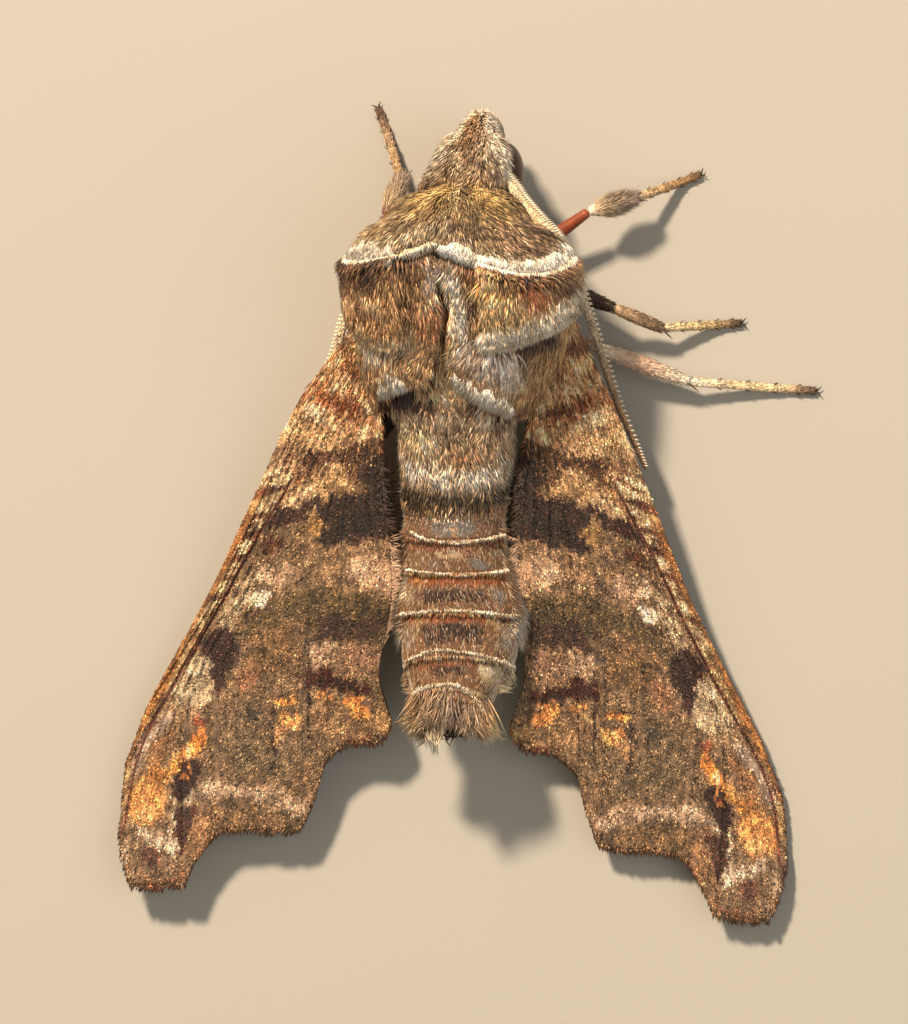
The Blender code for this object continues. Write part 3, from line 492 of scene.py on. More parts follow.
# Wing sheets as in the solids: u runs from the root to the tip, v from the front edge.
wingLook = {
    "rootY": (9.9, 5.6), "rootTurn": 96, "rows": 160, "spacing": 0.19,
    "veins": [
        (0.00, (4.2, -1.50), (9.2, -1.64), (14.2, -1.72), (19.2, -2.18)),
        (0.09, (4.6, -1.15), (10.0, -1.30), (15.6, -1.50), (21.4, -2.46)),
        (0.18, (5.0, -0.85), (11.0, -1.05), (17.3, -1.45), (24.4, -2.53)),
        (0.26, (5.3, -0.60), (12.0, -0.85), (19.4, -1.50), (27.5, -1.77)),
        (0.34, (5.6, -0.35), (12.8, -0.60), (21.0, -1.25), (29.92, 0.00)),
        (0.42, (5.7, -0.10), (12.9, -0.30), (20.8, -0.75), (28.75, 2.35)),
        (0.50, (5.6, 0.30), (12.6, 0.15), (19.4, 0.05), (25.6, 2.85)),
        (0.58, (5.4, 0.90), (12.4, 1.10), (18.6, 2.30), (24.75, 4.50)),
        (0.66, (5.2, 1.45), (11.6, 2.20), (17.6, 4.00), (23.8, 6.50)),
        (0.75, (5.0, 1.90), (10.6, 2.95), (15.6, 4.70), (20.4, 6.30)),
        (0.84, (4.85, 2.35), (9.6, 3.60), (14.2, 5.30), (18.35, 8.25)),
        (0.92, (4.8, 2.75), (8.9, 4.20), (13.0, 5.45), (17.0, 8.55)),
        (1.00, (4.8, 3.10), (8.4, 4.70), (12.2, 5.65), (16.2, 7.60))],
    "bulges": [0.0, 0.0, 0.0, 0.15, 0.1, -0.2, -0.05, 0.12, 0.1, -0.45, 0.2, 0.0],
    "veinHeight": 0.13, "veinWidth": 0.12, "thickness": 0.3, "drop": 0.0,
    "heights": [(-1.5, 5.0, 0.03), (0.0, 4.75, 0.05), (5.0, 3.95, 0.12), (10.0, 3.05, 0.13),
                (15.0, 2.15, 0.075), (17.5, 1.80, 0.045), (21.0, 1.38, 0.035),
                (25.0, 1.08, 0.03), (30.5, 0.98, 0.02)],
    "camber": 0.3, "edgeRoll": 0.45, "scales": 24000, "scaleLength": 0.17,
    "scaleWidth": 0.085, "baseHairs": 5500, "fringe": 2900,
}
hindwingLook = {
    "rootY": (7.2, 4.0), "rootTurn": 112, "rows": 90, "spacing": 0.3,
    "veins": [
        (0.0, (4.8, 0.0), (8.4, 0.1), (13.4, 0.7)), (0.2, (5.2, 0.6), (9.2, 1.1), (15.0, 2.2)),
        (0.4, (5.3, 1.2), (9.2, 2.0), (14.6, 3.6)), (0.6, (5.3, 1.8), (9.0, 2.9), (13.4, 4.7)),
        (0.8, (5.3, 2.4), (8.6, 3.6), (12.0, 5.2)), (1.0, (5.3, 3.0), (7.8, 4.0), (10.2, 5.0))],
    "bulges": [0.2] * 5, "veinHeight": 0.1, "veinWidth": 0.12, "thickness": 0.25,
    "drop": 1.01,
}
wingLies = {
    "right": {"side": 1, "root": (4.9, 8.5), "sweep": 19.2, "reach": 1.0, "rootLift": 0.0,
              "tipLift": 0.0, "frontSpread": 0.0, "innerSpread": 0.45, "seed": 50},
    "left": {"side": -1, "root": (-4.52, 8.59), "sweep": 23.8, "reach": 0.982,
             "rootLift": -0.3, "tipLift": 0.75, "frontSpread": 0.6, "innerSpread": 1.3,
             "seed": 60},
}


def wingPoint(lie, place):
    # point of a wing's upper face from its (u, v) place
    u, v = place[..., 0], place[..., 1]
    angle = math.radians(lie["sweep"])
    front = np.clip((0.5 - v) / 2.8, 0, 1) * np.sin(np.pi * ease(u / 33.0))
    inner = np.clip(v / 5.0 - 0.3, 0, 1) * np.sin(np.pi * ease((u - 6.5) / 9.5))
    spread = v - lie["frontSpread"] * front + lie["innerSpread"] * inner
    along = u * lie["reach"]
    x = lie["root"][0] + lie["side"] * (along * math.sin(angle) - spread * math.cos(angle))
    y = lie["root"][1] - along * math.cos(angle) - spread * math.sin(angle)
    edge, rise = np.moveaxis(smoothRow(wingLook["heights"], u), -1, 0)
    inward = v + 1.7
    z = edge + rise * inward + lie["rootLift"]
    z = z + (lie["tipLift"] - lie["rootLift"]) * np.maximum(u, 0) / 30
    z = z + wingLook["camber"] * np.sin(np.pi * np.clip(inward / 9.0, 0, 1))
    z = z - wingLook["edgeRoll"] * (1 - np.clip((inward + 0.3) / 0.9, 0, 1)) ** 2
    return np.stack([x, y, z], -1)


def rootPlace(lie, y, turn):
    # (u, v) of the place on the root line beside the thorax at y
    angle = math.radians(lie["sweep"])
    spot = bodyPoint(np.array(y), np.array(lie["side"] * math.radians(turn)), 0.4)
    across, along = lie["side"] * (spot[0] - lie["root"][0]), lie["root"][1] - spot[1]
    return ((across * math.sin(angle) + along * math.cos(angle)) / lie["reach"],
            along * math.sin(angle) - across * math.cos(angle))


def wingGrid(look, lie):
    # (u, v) places in rows from root to margin whose columns follow the veins, and how
    # high each one stands on a vein, 0 to 1
    part = np.linspace(0, 1, look["rows"])
    lines = []
    for share, *points in look["veins"]:
        y = look["rootY"][0] + (look["rootY"][1] - look["rootY"][0]) * share
        lines.append(throughPoints([rootPlace(lie, y, look["rootTurn"]), *points], part))
    columns, ridges = [], []
    for k, (here, there) in enumerate(zip(lines, lines[1:])):
        chord = there - here
        size = np.linalg.norm(chord, axis=1)
        outward = unit(np.stack([chord[:, 1], -chord[:, 0]], 1))
        steps = max(4, int(round(size.max() / look["spacing"])))
        last = steps + 1 if k == len(lines) - 2 else steps
        for share in np.arange(last) / steps:
            bulge = look["bulges"][k] * 4 * share * (1 - share) * part ** 8
            columns.append(here + chord * share + outward * bulge[:, None])
            away = np.minimum(share + (k == 0), 1 - share + (k == len(lines) - 2)) * size
            ridges.append(np.exp(-(away / look["veinWidth"]) ** 2) * ease((1 - part) / 0.03))
    return np.stack(columns, 1), np.stack(ridges, 1)


# Markings of the forewing from the root to the tip: (u, v) outlines, or strokes with a half
# width, in mm.
wingMarks = [
    ("#7a4a30", 0.7, 0.35, [(3.1, 1.5), (3.2, 0), (3.3, -1.5), (4.1, -1.6), (4.1, -0.3),
        (4.2, 0.8), (4, 1.5)]),
    ("#dccbb0", 0.85, 0.25, [(4.2, 0.2), (4.1, -0.6), (4.3, -1.2), (4.9, -1.3), (5, -0.6),
        (4.9, 0.1), (4.6, 0.5)]),
    ("goldOlive", 0.6, 0.4, [(5.1, 1.1), (6.1, 1), (6.3, -1.4), (5.1, -1.5)]),
    ("cream", 0.45, 0.2, [(5.3, 0.4), (5.8, 0.3), (5.8, -0.7), (5.3, -0.8)]),
    ("walnut", 0.9, 0.2, [(4.3, 4.6), (4.5, 3.4), (4.9, 2.2), (5.4, 1.5), (6, 1.2), (6.6, 1.8),
        (6.9, 2.7), (6.6, 3.4), (6.7, 4.6)]),
    ("gold", 0.5, 0.15, [(6.2, 2.3, 0.12), (6.6, 1.7, 0.12)]),
    # dark hair and painted shade: the inner margin beside the body, where the gap by the abdomen
    # lies in shade
    ("darkAndShade", 1, 0.25, [(3.4, 5), (3.8, 3), (5.4, 2.9), (6.9, 2.8), (7.8, 3.4), (8.4, 5.6),
        (6, 5.8)]),
    ("#3a1d17", 0.9, 0.12, [(6, 1.3), (6.1, 0.6), (6.5, 0), (7, -0.4), (7, -0.1), (6.7, 0.5),
        (6.4, 1.2)]),
    ("#a58c6c", 0.85, 0.25, [(6.8, 3.4), (6.9, 1.4), (7.6, 0.3), (8.8, -0.6), (9.4, -0.5),
        (9.1, 0.8), (8, 1.6), (7.3, 3.2)]),
    ("#cdb196", 0.9, 0.15, [(8, 1.1), (8.6, 1.2), (9, 0.9), (9.4, 0.5), (9.4, -0.2), (8.9, -0.1),
        (8.4, 0.2), (7.8, 0.6)]),
    ("rust", 0.6, 0.1, [(7.8, 0.1, 0.1), (8.3, -0.05, 0.1)]),
    ("cocoa", 0.98, 0.14, [(7, 4.8), (7, 3.4), (7.4, 2.6), (7.9, 2), (8.6, 1.4), (9.1, 1.4),
        (9.4, 1.6), (9.7, 2.2), (9.9, 2.9), (9.7, 3.4), (9.3, 4), (8.9, 4.6), (8.6, 5.2),
        (7.8, 5.3)]),
    ("#4d3b2e", 0.6, 0.2, [(8.9, 3.6), (9, 2.2), (9.6, 2.1), (9.8, 3), (9.3, 3.8)]),
    ("#8a7148", 0.85, 0.15, [(9.2, 1.7), (9.3, 1.1), (10, 1.1), (10.1, 1.9), (9.7, 2)]),
    ("#331d1a", 0.95, 0.1, [(9.3, 0.9), (9.5, 0.2), (9.6, -0.3), (9.9, -0.4), (10.6, -0.4),
        (10.5, 0), (10.1, 0.3), (9.8, 0.8)]),
    ("#4a2f22", 0.9, 0.1, [(10.9, 0.4), (11, -0.1), (11.2, -0.5), (11.8, -0.5), (11.9, -0.1),
        (11.6, 0.3), (11.4, 0.6)]),
    ("#b39a85", 0.9, 0.2, [(9.4, 5.7), (9.8, 4.4), (9.9, 3.8), (10.4, 3.4), (11, 3.3), (11.5, 3.5),
        (11.5, 4.2), (11.2, 4.8), (11.4, 5.8), (10.6, 6.1)]),
    ("#c9b3a2", 0.8, 0.15, [(10.3, 4.4), (10.4, 3.6), (11.1, 3.5), (11.3, 4.1), (10.8, 4.4)]),
    ("#86705a", 0.8, 0.25, [(9.8, 3), (10.1, 2), (10.3, 0.8), (11.8, 0.7), (12.2, 1.2),
        (11.9, 2.8), (11, 3.2)]),
    ("#9a8578", 0.75, 0.2, [(11.9, 1.4), (12.2, 0.4), (12.9, 0.1), (13.4, 0.3), (13.2, 1.3),
        (12.4, 1.7)]),
    ("#c2b2a0", 0.7, 0.12, [(12.3, 0.4), (12.5, -0.1), (13.4, -0.2), (13.4, 0.3)]),
    ("#4f4430", 0.98, 0.14, [(11.4, 6.1), (11.7, 5), (11.9, 4.2), (12.1, 3.6), (12.3, 2.9),
        (12.6, 2.5), (13.2, 1.8), (13.8, 1.4), (14.2, 1.6), (14.4, 2.4), (14.5, 3.2), (14.4, 3.9),
        (14.7, 4.4), (14.3, 5), (14, 5.6), (13.6, 6.4), (12.8, 6.6), (12, 6.4)]),
    ("bark", 0.85, 0.2, [(13.2, 5.9), (13.2, 3.8), (13.8, 3.4), (14.3, 3.8), (14.4, 4.6),
        (13.9, 5.6)]),
    ("#5c4a36", 0.7, 0.12, [(13.6, 2.3), (13.9, 1.6), (14.3, 2), (14.3, 3)]),
    ("#66523c", 0.85, 0.2, [(14.5, 2.2), (14.7, 1.2), (15.2, 0.4), (15.8, 0), (16.6, 0.2),
        (17, 0.7), (17.6, 1.8), (17.2, 2.8), (16.6, 3.2), (15.8, 3.2), (15.2, 2.9)]),
    ("#7d6650", 0.8, 0.15, [(15.3, 1.1), (15.5, 0.3), (16.4, 0.1), (16.7, 0.8), (16, 1.2)]),
    ("walnut", 0.85, 0.15, [(4.2, 3.3, 0.25), (5.7, 2, 0.35), (6.7, 0.5, 0.3), (7.8, 0, 0.15)]),
    # a real dark band, made darker as painted shade where it meets the body
    ("darkAndShade", 1, 0.15, [(4.5, 4, 0.35), (6.3, 4.3, 0.5), (7.8, 3.9, 0.5), (9, 3, 0.45),
        (10.2, 2.1, 0.25)]),
    ("#33201a", 0.95, 0.1, [(8.4, 1.3, 0.15), (9.9, -0.1, 0.25), (10.8, -0.6, 0.12)]),
    ("bark", 0.85, 0.2, [(12.6, 5.7, 0.4), (13.9, 4.7, 0.5), (14.6, 3.7, 0.3)]),
    ("#554a36", 0.8, 0.25, [(12.6, 3.1, 0.5), (14, 1.8, 0.5), (15.3, 0.6, 0.4), (16.6, 0.2, 0.2)]),
    ("chalk", 1, 0.08, [(13.8, 0.7, 0.12), (14.4, 0.1, 0.16), (14.9, -0.6, 0.08)]),
    ("chalk", 1, 0.06, [(13.7, 0.9), (13.8, 0.4), (14, 0.1), (14.4, 0.05), (14.6, 0.3),
        (14.3, 0.6), (14, 0.75)]),
    ("cream", 0.9, 0.06, [(14.4, 0.2, 0.12), (14.95, 0.05, 0.05)]),
    ("cocoa", 0.95, 0.05, [(14.5, 0.75, 0.06), (15, 0.3, 0.1), (15.2, -0.15, 0.1),
        (15.6, -0.3, 0.05)]),
    ("#b0a490", 0.8, 0.15, [(13.3, 0), (13.6, -0.6), (15.9, -0.9), (16.4, -0.8), (16.5, -0.3),
        (15.2, -0.25), (14.3, -0.1)]),
    ("#4a372c", 0.7, 0.05, [(13.9, -0.4, 0.05), (14.6, -0.55, 0.07), (15.9, -0.6, 0.05)]),
    ("#a08c7c", 0.92, 0.15, [(14.6, 4.3), (15, 3.7), (15.4, 3.4), (16, 3.6), (16.3, 4), (16, 4.7),
        (15.6, 5.1), (15.1, 5)]),
    ("#96796a", 0.85, 0.2, [(14.1, 6.2), (14.4, 5.2), (15, 5.1), (15.2, 6.2), (14.6, 6.8)]),
    ("#4f4a4e", 0.8, 0.1, [(14.9, 3.6), (15, 3.1), (15.6, 3.1), (15.6, 3.4)]),
    ("#8a7260", 0.8, 0.2, [(15.2, 6.8), (15.3, 5.2), (15.8, 4.8), (16, 5.4), (15.9, 6.6)]),
    ("#7b6650", 0.85, 0.2, [(17.5, 7.6), (17.6, 5.4), (18, 4.8), (19, 4.9), (19, 6.4),
        (18.4, 7.6)]),
    ("#8f7657", 0.85, 0.2, [(16.6, 8.6), (17, 7.6), (18.2, 7.5), (18, 8.5)]),
    ("#30140e", 0.98, 0.08, [(15.9, 7), (16, 6.3), (16.1, 5.7), (16.2, 5.3), (15.9, 4.7),
        (16.2, 4.2), (16.6, 3.9), (17, 3.9), (17.2, 4.2), (16.9, 4.7), (16.9, 5.1), (16.7, 5.5),
        (16.5, 6.1), (16.6, 6.6), (16.3, 7.2)]),
    ("#d9955a", 0.98, 0.08, [(16.5, 6.7), (16.7, 6.2), (17, 6), (17.3, 6.3), (17.6, 6.9),
        (17.6, 7.4), (17.2, 7.5), (16.9, 7.2)]),
    ("#bd8450", 0.92, 0.08, [(17.1, 5.6), (17.1, 5), (17.3, 4.6), (17.6, 4.9), (17.5, 5.5)]),
    ("#5a2a1c", 0.8, 0.06, [(18, 8.2, 0.08), (18.7, 7.2, 0.07), (18.9, 6.6, 0.05)]),
    ("#655a49", 0.6, 0.4, [(19.6, 6), (20.2, 3.9), (20, 1.2), (22.4, 1.2), (22.6, 3), (22, 6)]),
    ("#514a3c", 0.65, 0.3, [(21, 3.6), (21.1, 2.1), (22.5, 2), (22.3, 3.5)]),
    ("#78644f", 0.6, 0.25, [(20.4, 6.3), (20.6, 5.1), (22.2, 5), (22.2, 6.4)]),
    ("#cf8a50", 0.97, 0.07, [(18, 3.9), (18, 3.4), (18.3, 3.1), (18.6, 2.95), (18.8, 3.2),
        (18.5, 3.6), (18.3, 4)]),
    ("#1c0f0c", 0.95, 0.04, [(18.2, 3.2, 0.1), (18.3, 3.15, 0.1)]),
    ("#dfa068", 0.97, 0.07, [(18.8, 4.5), (18.9, 3.9), (19, 3.4), (19.5, 3.5), (19.4, 3.9),
        (19.3, 4.5)]),
    ("#b08a66", 0.85, 0.12, [(19.6, 3.9), (19.7, 3.4), (20.6, 3.4), (20.6, 3.8)]),
    ("jet", 0.95, 0.04, [(17.1, 4.2, 0.06), (18, 4.6, 0.08), (19.7, 5.2, 0.05)]),
    ("jet", 0.95, 0.04, [(18.4, 2.9, 0.05), (19.6, 3.2, 0.07), (21, 3.9, 0.06),
        (22.2, 4.4, 0.04)]),
    ("#3f3b33", 0.9, 0.12, [(19.1, 2.6), (19.3, 2.1), (19.8, 1.8), (20.2, 1.6), (20.1, 2.1),
        (19.8, 2.6)]),
    ("#7b5c48", 0.8, 0.15, [(17.2, 1.7), (17.3, 0.8), (18.8, 0.7), (18.9, 1.3), (18.2, 1.8)]),
    ("#2f1c1b", 0.99, 0.08, [(16.2, -0.4), (16.4, -0.8), (16.8, -1.1), (17.7, -1.2), (17.9, -0.95),
        (18.2, -0.7), (18.9, -0.45), (19.3, -0.2), (19.5, 0.1), (19.1, 0.4), (18.4, 0.25),
        (17.8, 0.4), (17.1, 0.5), (16.8, 0.2)]),
    ("#a89e8c", 0.95, 0.1, [(17.9, -0.85), (18.4, -1.35), (19.2, -1.6), (20.2, -1.7), (20.8, -1.3),
        (20.7, -0.6), (20.2, -0.1), (19.3, 0.1), (18.8, -0.25), (18.4, -0.55)]),
    ("#cfc6b4", 0.85, 0.12, [(18.2, -0.9), (18.5, -1.3), (19, -1.3), (19, -0.9)]),
    ("#4a3a30", 0.75, 0.05, [(19, -1, 0.05), (19.6, -1.15, 0.06), (20.3, -1.05, 0.05)]),
    ("#84725f", 0.8, 0.2, [(20.5, -0.2), (20.9, -1.6), (22, -1.9), (22.2, -0.4)]),
    ("#7a3f2c", 0.75, 0.08, [(20.7, 0.2), (20.9, -0.3), (21.3, -0.3), (21.3, 0.2)]),
    ("#856549", 0.85, 0.2, [(21.6, -0.7), (21.9, -1.3), (23.2, -1.7), (24.4, -1.6), (24.3, -0.9),
        (23.2, -0.9)]),
    ("#a99d98", 0.9, 0.12, [(21.6, -1.4, 0.22), (23.2, -2, 0.28), (24.6, -2.1, 0.22)]),
    ("#cc8440", 0.98, 0.07, [(21.3, 0.3), (21.6, -0.1), (22.3, -0.15), (22.9, -0.25), (23.1, 0.05),
        (22.7, 0.35), (22.2, 0.5)]),
    ("cream", 0.9, 0.05, [(22.5, 0.05, 0.08), (22.9, 0.05, 0.08)]),
    ("#b98a4e", 0.95, 0.08, [(23.1, -0.25), (23.3, -0.6), (23.9, -0.6), (24, -0.25)]),
    ("#a0703f", 0.85, 0.15, [(23.9, -0.3), (24, -1.2), (24.8, -1.6), (25, -0.5)]),
    ("#240b0a", 1, 0.05, [(22.9, 0.75), (22.95, 0.3), (23.2, -0.1), (23.6, -0.25), (24, -0.1),
        (24.4, -0.1), (24.9, 0), (25.1, 0.15), (25.05, 0.55), (24.7, 0.8), (24.2, 0.65),
        (23.7, 0.8), (23.2, 0.9)]),
    ("orange", 0.9, 0.04, [(23.15, -0.12, 0.06), (24, -0.2, 0.06)]),
    ("orange", 0.85, 0.04, [(23.3, 0.25, 0.06), (23.7, 0.35, 0.06), (24.1, 0.2, 0.05)]),
    ("#d39a62", 0.97, 0.12, [(24.9, -0.3), (24.8, -0.9), (24.9, -1.5), (25.5, -1.9), (26.4, -1.8),
        (26.9, -1.3), (27.1, -0.8), (26.9, -0.2), (26.3, -0.15), (25.5, -0.1)]),
    ("#e3b888", 0.9, 0.15, [(25.9, -0.4), (26, -1), (26.7, -1), (26.8, -0.5)]),
    ("#86684f", 0.8, 0.2, [(24.9, 2.4), (25.1, 1.6), (27.2, 1.7), (27.4, 2.5), (26.2, 2.9)]),
    ("#3c221b", 0.95, 0.08, [(25, 1.4), (25.3, 0.7), (25.6, 0.4), (26.3, 0.6), (27, 1),
        (27.6, 1.4), (27.5, 1.8), (26.6, 1.6), (25.8, 1.5)]),
    ("#f0e2c8", 0.95, 0.03, [(25, 0.15, 0.06), (26.1, 0.5, 0.06), (27.1, 0.9, 0.06),
        (28, 1.5, 0.05)]),
    ("#aaa097", 0.9, 0.08, [(24.2, 1.5, 0.2), (24.7, 1, 0.2), (25, 0.75, 0.12)]),
    ("#6e5a44", 0.8, 0.3, [(23.2, 7), (23.6, 5), (23.9, 3.4), (24.6, 1.8), (25.8, 2.4),
        (25.4, 3.6), (24.2, 5.6)]),
    ("#4f4030", 0.7, 0.15, [(23.9, 3.1), (24, 2.4), (24.5, 2.4), (24.4, 3.1)]),
    ("#988678", 0.95, 0.14, [(22.3, 6.3), (22.4, 5.5), (22.6, 4.6), (22.9, 3.6), (23.2, 2.6),
        (23.5, 1.7), (23.7, 1.1), (24.3, 0.9), (24.6, 1.5), (24.2, 2.2), (23.9, 2.9), (23.6, 3.8),
        (23.3, 4.8), (23.5, 5.9), (23.2, 6.4)]),
    ("ash", 0.85, 0.1, [(22.9, 6.2), (22.9, 5.5), (23.2, 5.4), (23.2, 6.1)]),
    ("ash", 0.8, 0.1, [(22.95, 4.2), (23, 3.4), (23.4, 3.4), (23.2, 4.2)]),
    ("ash", 0.8, 0.1, [(23.4, 1.9), (23.7, 1.3), (24.1, 1.3), (23.9, 1.9)]),
    ("#b9aea4", 0.95, 0.08, [(27.3, 1.5), (27, 1), (27, 0.4), (27.1, -0.3), (27.2, -0.9),
        (27.6, -1), (27.6, -0.3), (27.5, 0.3), (27.6, 0.8)]),
    ("#54382f", 0.95, 0.08, [(27.7, 0.5), (27.8, -0.1), (28.2, -0.3), (28.7, 0), (28.6, 0.6),
        (28.2, 0.8)]),
    ("#a89c90", 0.85, 0.1, [(28, -1, 0.15), (29.3, -0.9, 0.2), (29.6, -0.2, 0.15)]),
    ("#8d6248", 0.8, 0.1, [(28.3, 2.2, 0.12), (29.3, 1.2, 0.14), (29.5, 0.4, 0.12)]),
]


def wingTint(place, grain):
    # colour of the forewing's sheet or scales at its (u, v) places
    u, v = place[:, 0], place[:, 1]
    tint = np.tile(paint("cream"), (len(u), 1))
    speckle = ease((lumps(place * (1.0, 1.4), 0.3, 31) - 0.35) / 0.3)

    def over(name, share):
        tint[:] = tint + np.clip(share, 0, 1)[:, None] * (paint(name) - tint)

    over("pink", 0.5 * lumps(place, 0.6, 32))
    over("#8a5a3c", 0.8 * speckle * ease((6.5 - u) / 3) * (0.5 + 0.5 * grain))
    over("umber", 0.7 * ease((lumps(place, 0.5, 38) - 0.6) / 0.2) * ease((5.6 - u) / 1.5))
    over("#776553", ease((u - 5.6) / 1.6))
    over("#605242", ease((u - 6) / 2) * 0.8 * lumps(place, 0.7, 33))
    over("tan", ease((u - 6) / 2) * ease((11 - u) / 2) * 0.4)
    front = smoothRow([(0, -1.3), (8.3, -1.35), (12, -1.45), (14.5, -1.6), (17, -1.95),
                       (20.6, -2.1), (24.2, -2.6), (26.2, -2.3), (28, -1.7), (30, -0.1)],
                      u)[..., 0]
    inner = smoothRow([(6, -0.3), (8.3, -0.35), (12.3, -0.85), (14.9, -1.05), (17.4, -1.35),
                       (20.3, -1.75), (22.3, -2.05), (24.3, -2.1), (26.2, -1.8), (27.3, -1.5)],
                      u)[..., 0]
    between = ease((inner - v) / 0.1) * ease((u - 6.5) / 1.5) * ease((27.5 - u) / 2)
    strip = lumps(place * (1.0, 0.35) + v[:, None] * (0.9, 0.0), 0.22, 34)
    over("#9a8c78", between * 0.9)
    over("#7a6a4c", between * ease((u - 15.5) / 1.5) * 0.85)
    tint[:] = paintOver(tint, place, wingMarks, 0.32, 35, grain, 1.5)
    inland = 1 - 0.6 * ease((u - 16) / 2)
    over("#d8c9a8", between * inland * ease((strip - 0.52) / 0.1) * 0.75)
    over("#4a231c", between * inland * ease((0.44 - strip) / 0.1) * 0.75)
    line = 1 - ease((np.abs(v - inner) - 0.03) / 0.07)
    over("#45201a", line * ease((u - 7) / 1.5) * 0.85)
    over("#8a5f35", ease((front + 0.2 - v) / 0.15) * ease((u - 8) / 3) * 0.8)
    lightness = (0.62 + 0.8 * lumps(place * (0.6, 1.5), 0.13, 36)) * (0.8 + 0.4 * lumps(
        place, 0.5, 37))
    return np.clip(tint * lightness[:, None] * (1.1, 1.03, 0.95), 0, 1)


def hindwingTint(place):
    # orange with a brown outer border, as the species has it, and darkened towards the root as
    # painted shade
    u, v = place[:, 0], place[:, 1]
    tint = np.tile(paint("orange"), (len(u), 1))
    border = ease((u - 11.2 + 0.35 * v - 0.4 * lumps(place, 0.6, 44)) / 0.8)
    tint += border[:, None] * (paint("umber") - tint)
    tint += (0.5 * ease((1.0 - v) / 0.6))[:, None] * (paint("tan") - tint)
    # painted shade: the hindwing darkens towards the root, where it lies in the shaded gap beside
    # the body
    tint += ease((6.5 - u) / 1.5)[:, None] * (paint("darkBrown") - tint)
    return tint * (0.88 + 0.24 * lumps(place, 0.15, 45))[:, None]


def addNode(tree, kind, settings=None, links=None):
    # one node with its settings, and links from other nodes' sockets
    node = tree.nodes.new(kind)
    for name, value in (settings or {}).items():
        if name in node.inputs:
            node.inputs[name].default_value = value
        else:
            setattr(node, name, value)
    for name, source in (links or {}).items():
        tree.links.new(source, node.inputs[name])
    return node


def newMaterial(name, settings):
    # material with a Principled shader; returns it with its node tree and the shader
    material = bpy.data.materials.new(name)
    material.use_nodes = True
    shader = material.node_tree.nodes["Principled BSDF"]
    for socket, value in settings.items():
        shader.inputs[socket].default_value = value
    return material, material.node_tree, shader


def tintedMaterial(name, settings, grainSize, light, dark, bump, contrast=1.0):
    # colour from the piece's own tint attribute, broken by a fine grain of real size
    material, tree, shader = newMaterial(name, settings)
    tint = addNode(tree, "ShaderNodeAttribute", {"attribute_name": "tint"})
    spot = addNode(tree, "ShaderNodeTexCoord")
    grain = addNode(tree, "ShaderNodeTexNoise",
                    {"Scale": 1 / (grainSize * mm), "Detail": 3.0, "Roughness": 0.65},
                    {"Vector": spot.outputs["Object"]})
    value = addNode(tree, "ShaderNodeMapRange", {"From Min": 0.3, "From Max": 0.7,
                                                 "To Min": dark, "To Max": light},
                    {"Value": grain.outputs["Fac"]})
    shade = addNode(tree, "ShaderNodeHueSaturation", {"Saturation": contrast},
                    {"Color": tint.outputs["Color"], "Value": value.outputs["Result"]})
    relief = addNode(tree, "ShaderNodeBump", {"Strength": bump, "Distance": 0.02 * mm},
                     {"Height": grain.outputs["Fac"]})
    tree.links.new(shade.outputs["Color"], shader.inputs["Base Color"])
    tree.links.new(relief.outputs["Normal"], shader.inputs["Normal"])
    return material


# Chitin hair-scales: thin ribbed blades, so a dull body with a silky gloss along the hair.
hairScales = tintedMaterial("chitin hair-scales", {"Roughness": 0.58, "IOR": 1.56,
                            "Sheen Weight": 0.15, "Sheen Roughness": 0.4}, 0.05, 1.12, 0.9, 0.3)
# Soft skin under the coat: matt, seen only as dark gaps between the hairs.
bodySkin = tintedMaterial("soft cuticle under fur", {"Roughness": 0.85, "IOR": 1.45},
                          0.08, 0.8, 0.5, 0.6)
# Flat wing scales: ribbed shingles of chitin that glint a little one by one.
wingScales = tintedMaterial("chitin wing scales", {"Roughness": 0.55, "IOR": 1.56},
                            0.06, 1.15, 0.85, 0.4)
# Wing membrane under the scales: thin cuticle, duller than the scales.
wingMembrane = tintedMaterial("scaled wing membrane", {"Roughness": 0.62, "IOR": 1.54},
                              0.07, 1.1, 0.75, 0.8)
# Scaled leg and feeler cuticle: straw scales over brown cuticle, with a waxy gloss.
limbCuticle = tintedMaterial("waxy limb cuticle", {"Roughness": 0.4, "IOR": 1.54},
                             0.06, 1.15, 0.8, 0.5)
print("materials ready")


def select(piece):
    bpy.ops.object.select_all(action="DESELECT")
    piece.select_set(True)
    bpy.context.view_layer.objects.active = piece


def finishPiece(piece, name, material, slot, nodes=()):
    # name, material, ride and the CAD nodes that the piece stands for
    piece.name = name
    piece.data.name = name
    piece.data.materials.clear()
    piece.data.materials.append(material)
    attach(piece, "root")
    if nodes:
        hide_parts(*nodes)
    return piece


def setTint(mesh, tint):
    colours = np.ones((len(mesh.vertices), 4), np.float32)
    colours[:, :3] = toLinear(np.clip(tint, 0, 1))
    mesh.attributes.new("tint", "FLOAT_COLOR", "POINT").data.foreach_set("color", colours.ravel())


def faceOutwards(piece):
    # normals recalculated, then shaded smooth
    select(piece)
    bpy.ops.object.mode_set(mode="EDIT")
    bpy.ops.mesh.select_all(action="SELECT")
    bpy.ops.mesh.normals_make_consistent(inside=False)
    bpy.ops.object.mode_set(mode="OBJECT")
    bpy.ops.object.shade_smooth()


def wrapBall(around, along, place):
    # a sphere primitive whose points move to place(part from pole to pole, angle), in mm
    bpy.ops.object.select_all(action="DESELECT")
    bpy.ops.mesh.primitive_uv_sphere_add(segments=around, ring_count=along, radius=1.0)
    ball = bpy.context.object
    mesh = ball.data
    points = np.empty(len(mesh.vertices) * 3)
    mesh.vertices.foreach_get("co", points)
    points = points.reshape(-1, 3)
    part = np.arccos(np.clip(points[:, 2], -1, 1)) / np.pi
    moved, tint = place(part, np.arctan2(points[:, 1], points[:, 0]))
    mesh.vertices.foreach_set("co", (moved * mm).ravel())
    mesh.update()
    faceOutwards(ball)
    setTint(mesh, tint)
    return ball


